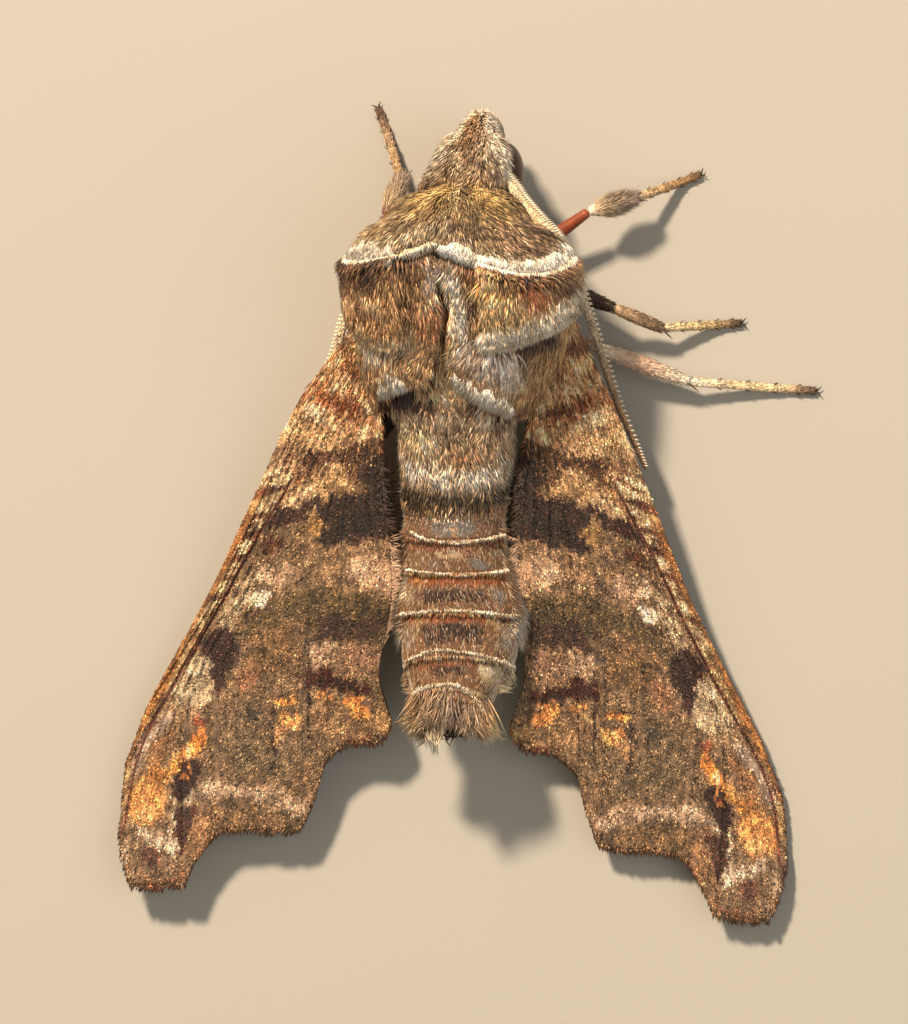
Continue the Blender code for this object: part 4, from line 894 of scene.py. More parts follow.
def joinShapes(name, points, tints, faces, patch, bake, material, slot):
    # one mesh of many like shapes. points and tints are read as (shape, point, value), faces
    # are those of one shape, and patch is what each covers at its root's place on the unwrap
    first = points[0] - points[0].mean(axis=0)
    volume = sum(np.dot(first[face[0]], np.cross(first[face[k]], first[face[k + 1]]))
                 for face in faces for k in range(1, len(face) - 1))
    if volume < 0:
        faces = [face[::-1] for face in faces]
    count, each = points.shape[:2]
    index = (np.arange(count)[:, None] * each + np.concatenate(faces)).ravel()
    sizes = np.tile([len(face) for face in faces], count)
    mesh = bpy.data.meshes.new(name)
    mesh.vertices.add(count * each)
    mesh.vertices.foreach_set("co", (points * mm).ravel())
    mesh.loops.add(len(index))
    mesh.polygons.add(len(sizes))
    mesh.polygons.foreach_set("loop_start", np.cumsum(sizes) - sizes)
    mesh.polygons.foreach_set("vertices", index)
    mesh.update(calc_edges=True)
    setTint(mesh, tints.reshape(-1, 3))
    low, high = bake.min(axis=0), bake.max(axis=0)
    spot = 0.01 + 0.975 * (bake - low) / np.maximum(high - low, 1e-9)
    uvs = (spot[:, None, :] + patch[None]).reshape(-1, 2)[index]
    mesh.uv_layers.new(name="OFBake").data.foreach_set("uv", uvs.ravel())
    piece = bpy.data.objects.new(name, mesh)
    bpy.context.scene.collection.objects.link(piece)
    return finishPiece(piece, name, material, slot)


hairShape = {"bow": 0.45, "height": 0.35}        # how far a hair bends back, its section
hairSteps = [(0.0, 0.6), (0.45, 1.0)]            # a long hair, widest before its middle
scaleSteps = [(0.0, 1.0)]                        # a short one, widest at its root


def growTufts(name, tufts, steps, material, slot):
    # one mesh of closed, tapered, three-edged hairs. Each has its root, its lie, the
    # outward direction, length, width, lift in degrees, sway, colours of root and tip, and
    # its place on the unwrap; steps are (part of its length, share of its width)
    root, lie, out = tufts["root"], unit(tufts["lie"]), unit(tufts["out"])
    side = unit(np.cross(out, lie))
    out = np.cross(lie, side)
    length, width, sway = (tufts[key][:, None] for key in ("length", "width", "sway"))
    lift = np.radians(tufts["lift"])[:, None]
    points, tints = [], []
    for part, share in [*steps, (1.0, 0.0)]:
        middle = (root + lie * (length * part * np.cos(lift))
                  + out * (length * part * np.sin(lift) * (1 - hairShape["bow"] * part))
                  + side * (length * sway * part ** 2))
        half, rise = side * width * share / 2, out * width * share * hairShape["height"]
        corners = [middle - half, middle + half, middle + rise] if share else [middle]
        points += corners
        tints += [tufts["tint"] + part * (tufts["tipTint"] - tufts["tint"])] * len(corners)
    tip = len(points) - 1
    edges = ((0, 1), (1, 2), (2, 0))
    faces = [(0, 1, 2)]
    for k in range(0, tip - 3, 3):
        faces += [(k + b, k + a, k + 3 + a, k + 3 + b) for a, b in edges]
    faces += [(tip - 3 + b, tip - 3 + a, tip) for a, b in edges]
    patch = np.array([(0.0003 + 0.0012 * (k % 3), 0.0003 + 0.0011 * (k // 3))
                      for k in range(tip + 1)])
    piece = joinShapes(name, np.stack(points, 1), np.stack(tints, 1), faces, patch,
                       tufts["bake"], material, slot)
    piece.data.shade_smooth()


def bodySkinPlace(part, angle):
    # nose to tail, with both ends closed
    y = bodyLook["nose"] + (bodyLook["tail"] - bodyLook["nose"]) * part
    middle = bodyMiddle(y)
    cap = roundEnds(part, 0.02, 0.025)[:, None]
    return (middle + (skinPoint(y, angle) - middle) * cap,
            0.75 * bodyTint(y, angle, np.full(len(y), 0.5)))


finishPiece(wrapBall(bodyLook["around"], bodyLook["along"], bodySkinPlace),
            "bodySkin", bodySkin, "fur",
            ["head", "thorax", "collar_left", "collar_right", "tegula_left", "tegula_right",
             "shoulder_left", "shoulder_right", "tail_tuft",
             *["abdomen_%d" % k for k in range(1, 7)]])
print("skin ready")

eyeLook = {"right": (1.34, 16.2, 4.2), "left": (-1.2, 16.3, 4.2), "radii": (0.95, 1.5, 1.4),
           "facet": 0.035}


def eyeCentre(label):
    across, y, z = eyeLook[label]
    section = smoothRow(bodyLook["sections"], y)
    return np.array([section[0] + across, y, z + across * math.sin(math.radians(section[5]))])


# Coat regions: y and turn ranges in degrees, hairs, mean length, width, lift and lay, and
# how often the region is thinned where another flap covers it.
coatLook = {
    "usual": dict(length=1.0, width=0.08, slot="fur", veer=0, steps=hairSteps, thinned=0),
    "furHead": dict(y=(14.7, 19.1), turn=(-180, 180), count=13500, length=0.7, lift=24, seed=1),
    "furCollarLeft": dict(y=(11.0, 15.2), turn=(-104, 0), count=8800, length=0.95, lift=17,
                          slot="collar", seed=2, veer=10),
    "furCollarRight": dict(y=(11.0, 15.2), turn=(0, 104), count=8800, length=0.95, lift=17,
                           slot="collar", seed=3, veer=26),
    "furShoulderLeft": dict(y=(4.9, 12.6), turn=(-98, 0), count=13500, lift=15,
                            slot="shoulder", seed=4, thinned=1),
    "furShoulderRight": dict(y=(4.9, 12.6), turn=(0, 98), count=13500, lift=15,
                             slot="shoulder", seed=5, thinned=1),
    "furWaist": dict(y=(0.0, 6.4), turn=(-125, 125), count=11500, length=0.95, lift=19,
                     seed=6, thinned=2),
    "scalesAbdomen": dict(y=(-9.6, 0.1), turn=(-125, 125), count=20000, length=0.36, width=0.1,
                          lift=9, slot="ring", seed=7, steps=scaleSteps),
    "furFlankLeft": dict(y=(-6.2, 4.6), turn=(-116, -62), count=3600, lift=24, seed=10,
                         veer=50, steps=scaleSteps),
    "furFlankRight": dict(y=(-6.2, 4.6), turn=(62, 116), count=3600, lift=24, seed=11,
                          veer=50, steps=scaleSteps),
    "furChest": dict(y=(4.7, 14.7), turn=(96, 264), count=7500, width=0.12, lift=18, seed=8,
                     steps=scaleSteps),
    "scalesBelly": dict(y=(-9.6, 4.7), turn=(118, 242), count=6000, length=0.6, width=0.12,
                        lift=10, slot="ring", seed=9, steps=scaleSteps),
}
# How hairs stand and what tells them apart: lift over the snout, how far the lay swirls in
# wide and in narrow lumps, its spread, the sweep round the head on the right and left, and
# the brightness of clumps; then the roots painted darker as shade between the hairs, and the
# tips painted lighter on the rear body and further forward, partly as a painted highlight.
coatGrowth = {"snoutLift": 16, "swirls": (55, 40), "veerSpread": 9, "hood": (22, 34),
              "clumps": (0.66, 0.68), "rootShade": 0.65, "paleTipsAndHighlight": (1.75, 1.45),
              "covered": 0.04}


def sowCoat(look):
    # places spread evenly over the skin of one region
    chance = np.random.default_rng(look["seed"])
    tries = 4 * look["count"]
    y = chance.uniform(*look["y"], tries)
    turn = np.radians(chance.uniform(*look["turn"], tries))
    spot = bodyPoint(y, turn)
    step = 0.02
    area = np.linalg.norm(np.cross(bodyPoint(y + step, turn) - spot,
                                   bodyPoint(y, turn + step) - spot), axis=1)
    if look["thinned"]:
        collar, lobe, flap = flapShares(y, turn)
        slope = (lobe > 0.02) & (lobe < 0.6) & (y < lobeEdge(np.abs(np.degrees(turn))) + 0.02)
        area = area * np.where((collar > 0.02) | slope, coatGrowth["covered"], 1)
        if look["thinned"] == 2:
            area = area * np.where(np.maximum(lobe, flap) > 0.02, coatGrowth["covered"], 1)
    pick = chance.choice(tries, look["count"], replace=False, p=area / area.sum())
    return y[pick], turn[pick], chance


def coatFrame(y, turn, out):
    # root on the skin, and the directions backwards, outwards and away from the back's middle
    step = 0.04
    ahead = bodyPoint(y + step, turn) - bodyPoint(y - step, turn)
    around = bodyPoint(y, turn + step) - bodyPoint(y, turn - step)
    root = skinPoint(y, turn, out)
    facing = unit(np.cross(around, ahead))
    facing = facing * np.sign((facing * (root - bodyMiddle(y))).sum(axis=1))[:, None]
    degrees = (np.degrees(turn) + 180) % 360 - 180
    return root, -unit(ahead), facing, unit(around) * np.sign(degrees)[:, None], degrees


def growCoat(name, look):
    y, turn, chance = sowCoat(look)
    count = len(y)
    root, back, out, away, degrees = coatFrame(y, turn, -0.03)
    wide = np.abs(degrees)
    collar, lobe, flap = flapShares(y, turn)
    edge = np.where(collar > 0.5, collarEdge(degrees),
                    np.where(lobe > 0.5, lobeEdge(wide), shoulderEdge(degrees)))
    flapped = np.maximum(collar, np.maximum(lobe, flap)) > 0.5
    near = np.where(flapped, ease(1.2 - (y - edge) / 0.9), 0)
    length = look["length"] * chance.uniform(0.7, 1.25, count) * (1 - 0.5 * near)
    climb = np.maximum(skinHeight(y - 0.25, turn) - skinHeight(y + 0.25, turn), 0) / 0.5
    lift = look["lift"] * chance.uniform(0.4, 1.7, count) + np.degrees(np.arctan(climb))
    lift = lift + coatGrowth["snoutLift"] * ease((y - 17.6) / 1.0)
    here = np.stack([turn * 4, y], 1)
    broad, narrow = coatGrowth["swirls"]
    swirl = (lumps(here, 1.1, look["seed"]) - 0.5) * broad + (lumps(here, 0.4, 91) - 0.5) * narrow
    veer = (swirl + chance.normal(0, coatGrowth["veerSpread"], count)
            + look["veer"] * ease(wide / 40))
    hood = ease((wide - 15) / 25) * ease((150 - wide) / 30) * ease((y - 14.6) / 0.8)
    veer = np.radians(veer + np.where(degrees > 0, *coatGrowth["hood"]) * hood)[:, None]
    lie = unit(back * np.cos(veer) + away * np.sin(veer))
    length = length * (1 - 0.35 * ease((y - 17.4) / 0.9))
    if look["slot"] == "fur":
        length = length * (0.35 + 0.65 * ease(np.abs(y) / 1.0))
    grain = chance.uniform(0, 1, count)

    def tintAhead(reach):
        place = y - reach * length
        place = np.where(flapped, np.maximum(place, edge + 0.03), place)
        return bodyTint(np.clip(place, -11.5, 19), turn, grain)

    dim, gain = coatGrowth["clumps"]
    clump = dim + gain * lumps(here, 0.33, 92)
    shade = clump[:, None] * uneven(chance, 0.27, 0.5, 1.7, count)
    keep = np.ones(count, bool)
    for label in ("left", "right"):
        bare = (root - eyeCentre(label)) / np.array(eyeLook["radii"])
        keep &= (np.linalg.norm(bare, axis=1) > 1.02) | (wide < (72 if label == "right" else 84))
    # roots are painted darker as shade between the hairs, tips lighter, partly as a painted
    # highlight
    tufts = {"root": root, "lie": lie, "out": out, "length": length,
             "width": look["width"] * chance.uniform(0.75, 1.25, count), "lift": lift,
             "sway": chance.normal(0, 0.08, count),
             "tint": tintAhead(0.35) * shade * coatGrowth["rootShade"],
             "tipTint": (tintAhead(0.9) * shade
                         * np.where(y < 12.0, *coatGrowth["paleTipsAndHighlight"])[:, None]),
             "bake": np.stack([(turn - turn.min()) / (turn.max() - turn.min()), y / 30], 1)}
    tufts = {key: value[keep] for key, value in tufts.items()}
    growTufts(name, tufts, look["steps"], hairScales, look["slot"])


# Pale rims of flaps and rings: slot, edge over the turn in degrees, its range, hairs, depth
# of the rim, length and paint.
rimLook = [
    ("collar", collarEdge, (-88, -24), 3600, 0.8, 0.55, "white"),
    ("collar", collarEdge, (-26, 2), 420, 0.22, 0.3, "cream"),
    ("collar", collarEdge, (2, 93), 3600, 0.58, 0.5, "white"),
    ("shoulder", shoulderEdge, (8, 52), 1700, 0.5, 0.6, "white"),
    ("shoulder", shoulderEdge, (-50, -26), 1000, 0.95, 0.55, "white"),
    ("shoulder", lambda turn: lobeEdge(np.abs(turn)), (26, 86), 1600, 0.4, 0.45, "paleGrey"),
    *[("ring", lambda turn, rows=rows: smoothRow(rows, turn)[..., 0], (rows[0][0], rows[-1][0]),
       420, 0.12, 0.17, "#e6d3b4") for rows in (
        [(-49, -0.73), (-23, -1.1), (6, -1.23), (36, -1.15), (68, -1.03)],
        [(-60, -2.8), (-23, -2.95), (6, -3.08), (36, -3.0), (71, -2.85)],
        [(-82, -5.2), (-28, -5.1), (-2, -5.03), (25, -5.1), (52, -5.23), (89, -5.3)],
        [(-69, -7.7), (-36, -7.5), (-18, -7.3), (12, -7.4), (46, -7.6), (100, -7.6)],
        [(-92, -9.1), (-50, -9.2), (-20, -9.2), (10, -9.2), (40, -9.5), (64, -9.9)])]]
# How high above the skin the roots lie, the hairs' width and how much brighter their tips are
# painted, partly a painted highlight.
rimKinds = {"collar": (0.14, 0.06, 1.6), "shoulder": (0.0, 0.06, 1.3),
            "ring": (0.0, 0.045, 1.3)}


def growRims():
    chance = np.random.default_rng(20)
    grown = {}
    for slot, edgeAt, ends, count, depth, length, label in rimLook:
        above, width, bright = rimKinds[slot]
        degrees = chance.uniform(*ends, count)
        taper = ease(np.minimum(degrees - ends[0], ends[1] - degrees) / 9)
        ragged = lumps(np.stack([degrees * arcScale, np.zeros(count)], 1), 0.18, 94)
        inset = depth * (0.2 + 0.8 * taper) * (0.7 + 0.8 * ragged)
        y = edgeAt(degrees) + inset * chance.uniform(0.1, 1, count) ** 1.3
        height = chance.uniform(0.02, 0.15, count) + above
        root, back, out, away, _ = coatFrame(y, np.radians(degrees), height)
        fade = 0.6 + 0.9 * lumps(np.stack([degrees * arcScale, y], 1), 0.3, 93)
        shade = np.clip(chance.normal(1.0, 0.2, count) * fade, 0.45, 1.4)[:, None]
        veer = chance.normal(0, 0.35, count)[:, None]
        # the tips are painted brighter than the roots, partly as a painted highlight
        rim = {"root": root, "lie": back + away * veer, "out": out,
               "length": length * chance.uniform(0.7, 1.2, count),
               "width": np.full(count, width),
               "lift": chance.uniform(6, 24, count),
               "sway": chance.normal(0, 0.1, count), "tint": paint(label) * shade,
               "tipTint": paint(label) * shade * bright,
               "bake": np.stack([degrees / 360 + 0.5, y / 30], 1)}
        grown.setdefault(slot, []).append(rim)
    for slot, rims in grown.items():
        whole = {key: np.concatenate([rim[key] for rim in rims]) for key in rims[0]}
        growTufts("rim_" + slot, whole, scaleSteps, hairScales, slot)


usual = coatLook.pop("usual")
for name, look in coatLook.items():
    growCoat(name, {**usual, **look})
growRims()
print("coat ready")


def wingSheet(name, look, lie, tintOf, slot, node):
    # a grid primitive given its wall while flat, then laid along the veins; the margin of
    # the wall is thin
    place, ridge = wingGrid(look, lie)
    rows, columns = ridge.shape
    bpy.ops.object.select_all(action="DESELECT")
    bpy.ops.mesh.primitive_grid_add(x_subdivisions=columns - 1, y_subdivisions=rows - 1, size=1)
    piece = bpy.context.object
    flat = place.reshape(-1, 2)
    mesh = piece.data
    corner = np.empty(len(mesh.loops), np.int32)
    mesh.loops.foreach_get("vertex_index", corner)
    mesh.uv_layers[0].name = "wingPlace"
    mesh.uv_layers[0].data.foreach_set("uv", (flat[corner] / 32 + 0.1).ravel())
    setTint(mesh, tintOf(flat))
    wall = piece.modifiers.new("wall", "SOLIDIFY")
    wall.thickness = 0.01
    wall.offset = -1
    bpy.ops.object.modifier_apply(modifier="wall")
    inland = np.zeros((rows, columns))
    inland[:-1, 1:-1] = 1
    along = ease(np.minimum(np.arange(columns), np.arange(columns)[::-1]) / 4)[None, :]
    inland = inland * along * ease((rows - 1 - np.arange(rows)) / 8)[:, None]
    top = wingPoint(lie, flat)
    top[:, 2] += look["veinHeight"] * ridge.ravel() - look["drop"]
    under = wingPoint(lie, flat)
    under[:, 2] -= look["drop"] + look["thickness"] * (0.3 + 0.7 * inland.ravel())
    mesh.vertices.foreach_set("co", (np.concatenate([top, under]) * mm).ravel())
    mesh.update()
    faceOutwards(piece)
    finishPiece(piece, name, wingMembrane, slot, [node])


def sowWing(lie, count, chance, uRange=(0.0, 31.0)):
    # (u, v) places spread evenly over the wing's upper face, and how high a vein stands there
    place, ridge = wingGrid(wingLook, lie)
    a = place[:-1, :-1], place[:-1, 1:], place[1:, 1:], place[1:, :-1]
    area = 0.5 * np.abs(np.cross(a[2] - a[0], a[3] - a[1]))
    middle = (a[0] + a[2])[..., 0] / 2
    area = area * (middle > uRange[0]) * (middle < uRange[1])
    pick = chance.choice(area.size, count, p=(area / area.sum()).ravel())
    i, j = np.divmod(pick, area.shape[1])
    s, t = chance.uniform(0, 1, (2, count, 1))

    def between(values):
        return ((1 - s) * (1 - t) * values[i, j] + (1 - s) * t * values[i, j + 1]
                + s * t * values[i + 1, j + 1] + s * (1 - t) * values[i + 1, j])

    return between(place), between(ridge[..., None])


def wingFrame(lie, spot):
    # directions towards the tip, across to the inner edge and out of the upper face
    step = 0.05
    tip = unit(wingPoint(lie, spot + (step, 0)) - wingPoint(lie, spot - (step, 0)))
    inner = unit(wingPoint(lie, spot + (0, step)) - wingPoint(lie, spot - (0, step)))
    out = unit(np.cross(tip, inner))
    return tip, inner, out * np.sign(out[:, 2:3])


def growScales(name, lie, chance):
    # flat scales on the wing's face, each a low kite of six small faces, tip outwards
    spot, ridge = sowWing(lie, wingLook["scales"], chance)
    count = len(spot)
    tip, inner, out = wingFrame(lie, spot)
    root = wingPoint(lie, spot) + np.array([0, 0, 1]) * (wingLook["veinHeight"] * ridge)
    veer = np.radians(chance.normal(0, 12, count) + 9 * np.clip(spot[:, 1], -2, 8)
                      * ease(spot[:, 0] / 25) * 0.3)[:, None]
    run = unit(tip * np.cos(veer) + inner * np.sin(veer))
    side = np.cross(out, run)
    length = (wingLook["scaleLength"] * chance.uniform(0.75, 1.3, count))[:, None]
    width = (wingLook["scaleWidth"] * chance.uniform(0.75, 1.25, count))[:, None]
    rise = chance.uniform(0.03, 0.26, count)[:, None]
    lean = unit(run + out * rise)
    back = root - out * 0.012
    points = np.stack([back, back + lean * length * 0.6 - side * width / 2,
                       back + lean * length * 0.6 + side * width / 2, back + lean * length,
                       back + lean * length * 0.55 + out * 0.02], 1)
    tint = wingTint(spot, chance.uniform(0, 1, count)) * uneven(chance, 0.33, 0.4, 2.2, count)
    glint = (chance.uniform(0, 1, count) > 0.95)[:, None]
    tint = tint + 0.4 * glint * (paint("#e2c79a") - tint)
    patch = np.array([(0.0, 0.001), (0.0014, 0.0), (0.0014, 0.0022), (0.0028, 0.001),
                      (0.0014, 0.001)])
    faces = [(0, 2, 4), (2, 3, 4), (3, 1, 4), (1, 0, 4), (0, 1, 3, 2)]
    joinShapes(name, points, np.repeat(tint[:, None], 5, axis=1), faces, patch, spot,
               wingScales, "wing")


def baseHair(lie, chance):
    # long hair at the wing's base
    spot, _ = sowWing(lie, wingLook["baseHairs"], chance, (-2.0, 7.5))
    count = len(spot)
    tip, inner, out = wingFrame(lie, spot)
    grain = chance.uniform(0, 1, count)
    fade = 1 - 0.55 * ease(spot[:, 0] / 7.5)
    shade = uneven(chance, 0.15, 0.6, 1.5, count)
    return {"root": wingPoint(lie, spot) - out * 0.02,
            "lie": tip + inner * chance.normal(0.1, 0.18, count)[:, None], "out": out,
            "length": 0.85 * fade * chance.uniform(0.7, 1.3, count),
            "width": 0.07 * chance.uniform(0.8, 1.2, count),
            "lift": 16 * fade * chance.uniform(0.4, 1.6, count),
            "sway": chance.normal(0, 0.1, count), "tint": wingTint(spot, grain) * shade * 0.95,
            "tipTint": wingTint(spot + (0.3, 0), grain) * shade * 1.35, "bake": spot}


def fringeHair(lie, chance):
    # short hair along the costa and the outer margin, and long soft hair along the inner edge
    place, _ = wingGrid(wingLook, lie)
    rows, columns = place.shape[:2]
    half = rows // 2
    rim = np.concatenate([place[half:, 0], place[-1, 1:], place[-2::-1, -1]])
    outside = np.concatenate([place[half:, 0] - place[half:, 1], place[-1, 1:] - place[-3, 1:],
                              place[-2::-1, -1] - place[-2::-1, -2]])
    gaps = np.linalg.norm(np.diff(rim, axis=0), axis=1)
    walk = np.concatenate([[0], np.cumsum(gaps)])
    at = chance.uniform(0, walk[-1], wingLook["fringe"])
    k = np.clip(np.searchsorted(walk, at) - 1, 0, len(gaps) - 1)
    part = ((at - walk[k]) / np.maximum(gaps[k], 1e-9))[:, None]
    spot = rim[k] * (1 - part) + rim[k + 1] * part
    beyond = unit(outside[k] * (1 - part) + outside[k + 1] * part)
    costal = k < rows - half - 2
    inside = (k > rows - half + columns - 2) & (spot[:, 0] > 5.5) & (spot[:, 0] < 16)
    count = len(spot)
    spot = spot - beyond * chance.uniform(0.05, 0.28, count)[:, None]
    tip, inner, out = wingFrame(lie, spot)
    along = np.where(inside, chance.uniform(0.1, 1.3, count), 0.25)[:, None]
    size = np.where(costal, 0.16, np.where(inside, 0.95, 0.5)) * chance.uniform(0.75, 1.2, count)
    tint = wingTint(spot, chance.uniform(0, 1, count)) * 0.9
    shade = uneven(chance, 0.14, 0.6, 1.5, count)
    # near the root the inner fringe is dark brown, painted shade in the gap beside the body;
    # further out it is pink
    soft = np.where(spot[:, :1] < 8.8, paint("darkBrown"), paint("pink"))
    tint = np.where(inside[:, None], 0.3 * tint + 0.7 * soft, tint)
    rimTint = tint + np.where(inside, 0.0, 0.45)[:, None] * (paint("chestnut") - tint)
    return {"root": wingPoint(lie, spot) - out * 0.06,
            "lie": tip * (beyond[:, :1] + along) + inner * beyond[:, 1:], "out": out,
            "length": size, "width": 0.085 * chance.uniform(0.8, 1.2, count),
            "lift": chance.uniform(-8, 8, count), "sway": chance.normal(0, 0.08, count),
            "tint": tint * shade, "tipTint": rimTint * shade, "bake": spot}


def growWingHair(name, lie, chance):
    base, fringe = baseHair(lie, chance), fringeHair(lie, chance)
    both = {key: np.concatenate([base[key], fringe[key]]) for key in base}
    growTufts(name, both, hairSteps, wingScales, "wing")


for label, lie in wingLies.items():
    chance = np.random.default_rng(lie["seed"])
    wingSheet("forewing_sheet_" + label, wingLook, lie,
              lambda flat: 0.85 * wingTint(flat, np.full(len(flat), 0.5)), "wing",
              "forewing_" + label)
    wingSheet("hindwing_sheet_" + label, hindwingLook, lie, hindwingTint, "underwing",
              "hindwing_" + label)
    growScales("forewing_scales_" + label, lie, chance)
    growWingHair("forewing_hair_" + label, lie, chance)
print("wings ready")


def limbCurve(points, radii, part):
    # middle, run, side, top and radius of a limb at parts of its length
    middle = throughPoints(points, part)
    run = unit(throughPoints(points, np.clip(part + 0.01, 0, 1))
               - throughPoints(points, np.clip(part - 0.01, 0, 1)))
    side = unit(np.cross(run, np.array([0.0, 0.0, 1.0])))
    top = np.cross(side, run)
    radius = throughPoints([(r,) for r in radii], part)[..., 0]
    return middle, run, side, top, radius


def limbPlace(points, radii, tintOf, shape=None, ends=0.03):
    # place function for wrapBall: a limb with rounded ends, its radius shaped along it
    def place(part, angle):
        middle, _, side, top, radius = limbCurve(points, radii, part)
        if shape:
            radius = radius * shape(part, angle)
        around = side * np.cos(angle)[:, None] + top * np.sin(angle)[:, None]
        spot = middle + around * (radius * roundEnds(part, ends, ends))[:, None]
        spot[:, 2] = np.maximum(spot[:, 2], 0)
        return spot, tintOf(part, angle)
    return place


def plainTint(*names):
    # paints one after another along a limb
    def tintOf(part, angle):
        tint = throughPoints([paint(name) for name in names], part)
        return tint * (0.85 + 0.3 * lumps(np.stack([part * 40, angle], 1), 0.8, 71))[:, None]
    return tintOf


def coatLimb(name, points, radii, count, length, width, lift, tintOf, slot, seed,
             parts=(0.02, 0.98), angles=(-180, 180), steps=scaleSteps, lean=(0, 0, 0)):
    # short scales or hair along a limb
    chance = np.random.default_rng(seed)
    part = chance.uniform(*parts, count)
    angle = np.radians(chance.uniform(*angles, count))
    middle, run, side, top, radius = limbCurve(points, radii, part)
    out = side * np.cos(angle)[:, None] + top * np.sin(angle)[:, None]
    root = middle + out * (radius * 0.93)[:, None]
    root[:, 2] = np.maximum(root[:, 2], 0.03)
    tint = tintOf(part, angle) * uneven(chance, 0.17, 0.6, 1.5, count)
    tufts = {"root": root, "lie": run + side * chance.normal(0, 0.12, count)[:, None] + lean,
             "out": out, "length": length * chance.uniform(0.7, 1.3, count),
             "width": width * chance.uniform(0.8, 1.2, count),
             "lift": lift * chance.uniform(0.4, 1.6, count),
             "sway": chance.normal(0, 0.08, count), "tint": tint * 0.9, "tipTint": tint * 1.1,
             "bake": np.stack([angle / 6.3, part], 1)}
    # hairs that would reach into the floor are left out
    keep = root[:, 2] + tufts["length"] * (unit(tufts["lie"])[:, 2] + out[:, 2] * 0.4) > 0.02
    tufts = {key: value[keep] for key, value in tufts.items()}
    growTufts(name, tufts, steps, hairScales, slot)


# Head parts.
def makeEye(label, side):
    centre, radii = eyeCentre(label), np.array(eyeLook["radii"])

    def place(part, angle):
        ball = np.stack([np.sin(np.pi * part) * np.cos(angle), np.cos(np.pi * part),
                         np.sin(np.pi * part) * np.sin(angle)], 1)
        spot = centre + ball * radii
        tint = np.tile(paint("#150506"), (len(part), 1))
        glow = ease((ball[:, 0] * side - 0.2) / 0.8)[:, None]
        return spot, tint + glow * (paint("#300c0c") - tint)

    finishPiece(wrapBall(96, 64, place), "eyeball_" + label, eyeMaterial, "eye",
                ["eye_" + label])


# Compound eye: hundreds of tiny hexagonal lenses under a wet-looking dark red gloss.
eyeMaterial, tree, shader = newMaterial("compound eye cuticle", {"Roughness": 0.3,
                                        "IOR": 1.5, "Specular IOR Level": 0.25,
                                        "Coat Weight": 0.08, "Coat Roughness": 0.08})
tint = addNode(tree, "ShaderNodeAttribute", {"attribute_name": "tint"})
spot = addNode(tree, "ShaderNodeTexCoord")
lenses = addNode(tree, "ShaderNodeTexVoronoi", {"Scale": 1 / (eyeLook["facet"] * mm),
                 "Randomness": 0.25}, {"Vector": spot.outputs["Object"]})
relief = addNode(tree, "ShaderNodeBump", {"Strength": 0.25, "Distance": 0.01 * mm,
                 "invert": True}, {"Height": lenses.outputs["Distance"]})
tree.links.new(tint.outputs["Color"], shader.inputs["Base Color"])
tree.links.new(relief.outputs["Normal"], shader.inputs["Normal"])

antennaLook = {
    "right": ((2.2, 16.4, 6.1), (2.95, 15.6, 5.7), (3.6, 14.75, 6.1), (4.45, 13.85, 6.45),
              (5.2, 13.1, 6.3), (5.65, 12.3, 5.2), (5.95, 11.0, 4.1), (6.5, 9.1, 3.5),
              (7.1, 7.0, 3.0), (7.75, 5.0, 2.7), (8.55, 3.1, 2.5), (9.05, 1.9, 2.4)),
    "left": ((0.1, 16.3, 5.9), (-0.9, 15.5, 4.9), (-2.2, 14.4, 3.8), (-3.6, 13.0, 3.1),
             (-4.4, 11.2, 3.0), (-5.5, 9.4, 3.1), (-6.15, 7.5, 2.9), (-7.2, 5.3, 2.7),
             (-8.3, 2.9, 2.4), (-8.75, 1.8, 2.3)),
    "radii": (0.2, 0.22, 0.23, 0.22, 0.22, 0.21, 0.2, 0.18, 0.14, 0.05), "segments": 90,
}


def makeAntenna(label, side):
    points, radii = antennaLook[label], antennaLook["radii"]
    segments = antennaLook["segments"]

    def ringed(part, angle):
        return 0.86 + 0.2 * (part * segments % 1.0) ** 1.5

    shaft = wrapBall(14, segments * 4, limbPlace(
        points, radii, plainTint("tan", "cream", "cream", "tan", "chestnut"), ringed, 0.01))
    finishPiece(shaft, "antenna_shaft_" + label, limbCuticle, "feeler", ["antenna_" + label])
    number = np.arange(4 * segments)
    part = (number // 4 + 0.75) / segments * 0.985
    middle, run, across, top, radius = limbCurve(points, radii, part)
    lean = np.radians(np.where(number % 2, -28, 28) + np.where(number % 4 < 2, 12, -12))
    sign = np.where(number % 4 < 2, 1.0, -1.0)
    out = unit(across * (-side * np.cos(lean))[:, None] + top * (np.sin(lean) - 0.2)[:, None])
    tooth = paint("white") * np.ones((len(part), 1))
    tufts = {"root": middle + out * (radius * 0.7)[:, None], "lie": unit(run * 0.55 + out),
             "out": unit(top + 0.001), "length": 0.46 * (1 - 0.6 * part),
             "width": np.full(len(part), 0.1), "lift": np.zeros(len(part)),
             "sway": 0.1 * sign, "tint": tooth * 0.9, "tipTint": tooth,
             "bake": np.stack([part, number % 4 / 4], 1)}
    growTufts("antenna_teeth_" + label, tufts, [(0.0, 1.0), (0.5, 0.8)], limbCuticle, "feeler")
    coatLimb("antenna_scales_" + label, points, radii, 2200, 0.16, 0.06, 8,
             plainTint("white", "cream", "white", "tan", "brown"), "feeler", 80 + side,
             angles=(20, 160))


palpLook = {"radii": (0.3, 0.42, 0.42, 0.14), "hairs": 1400}


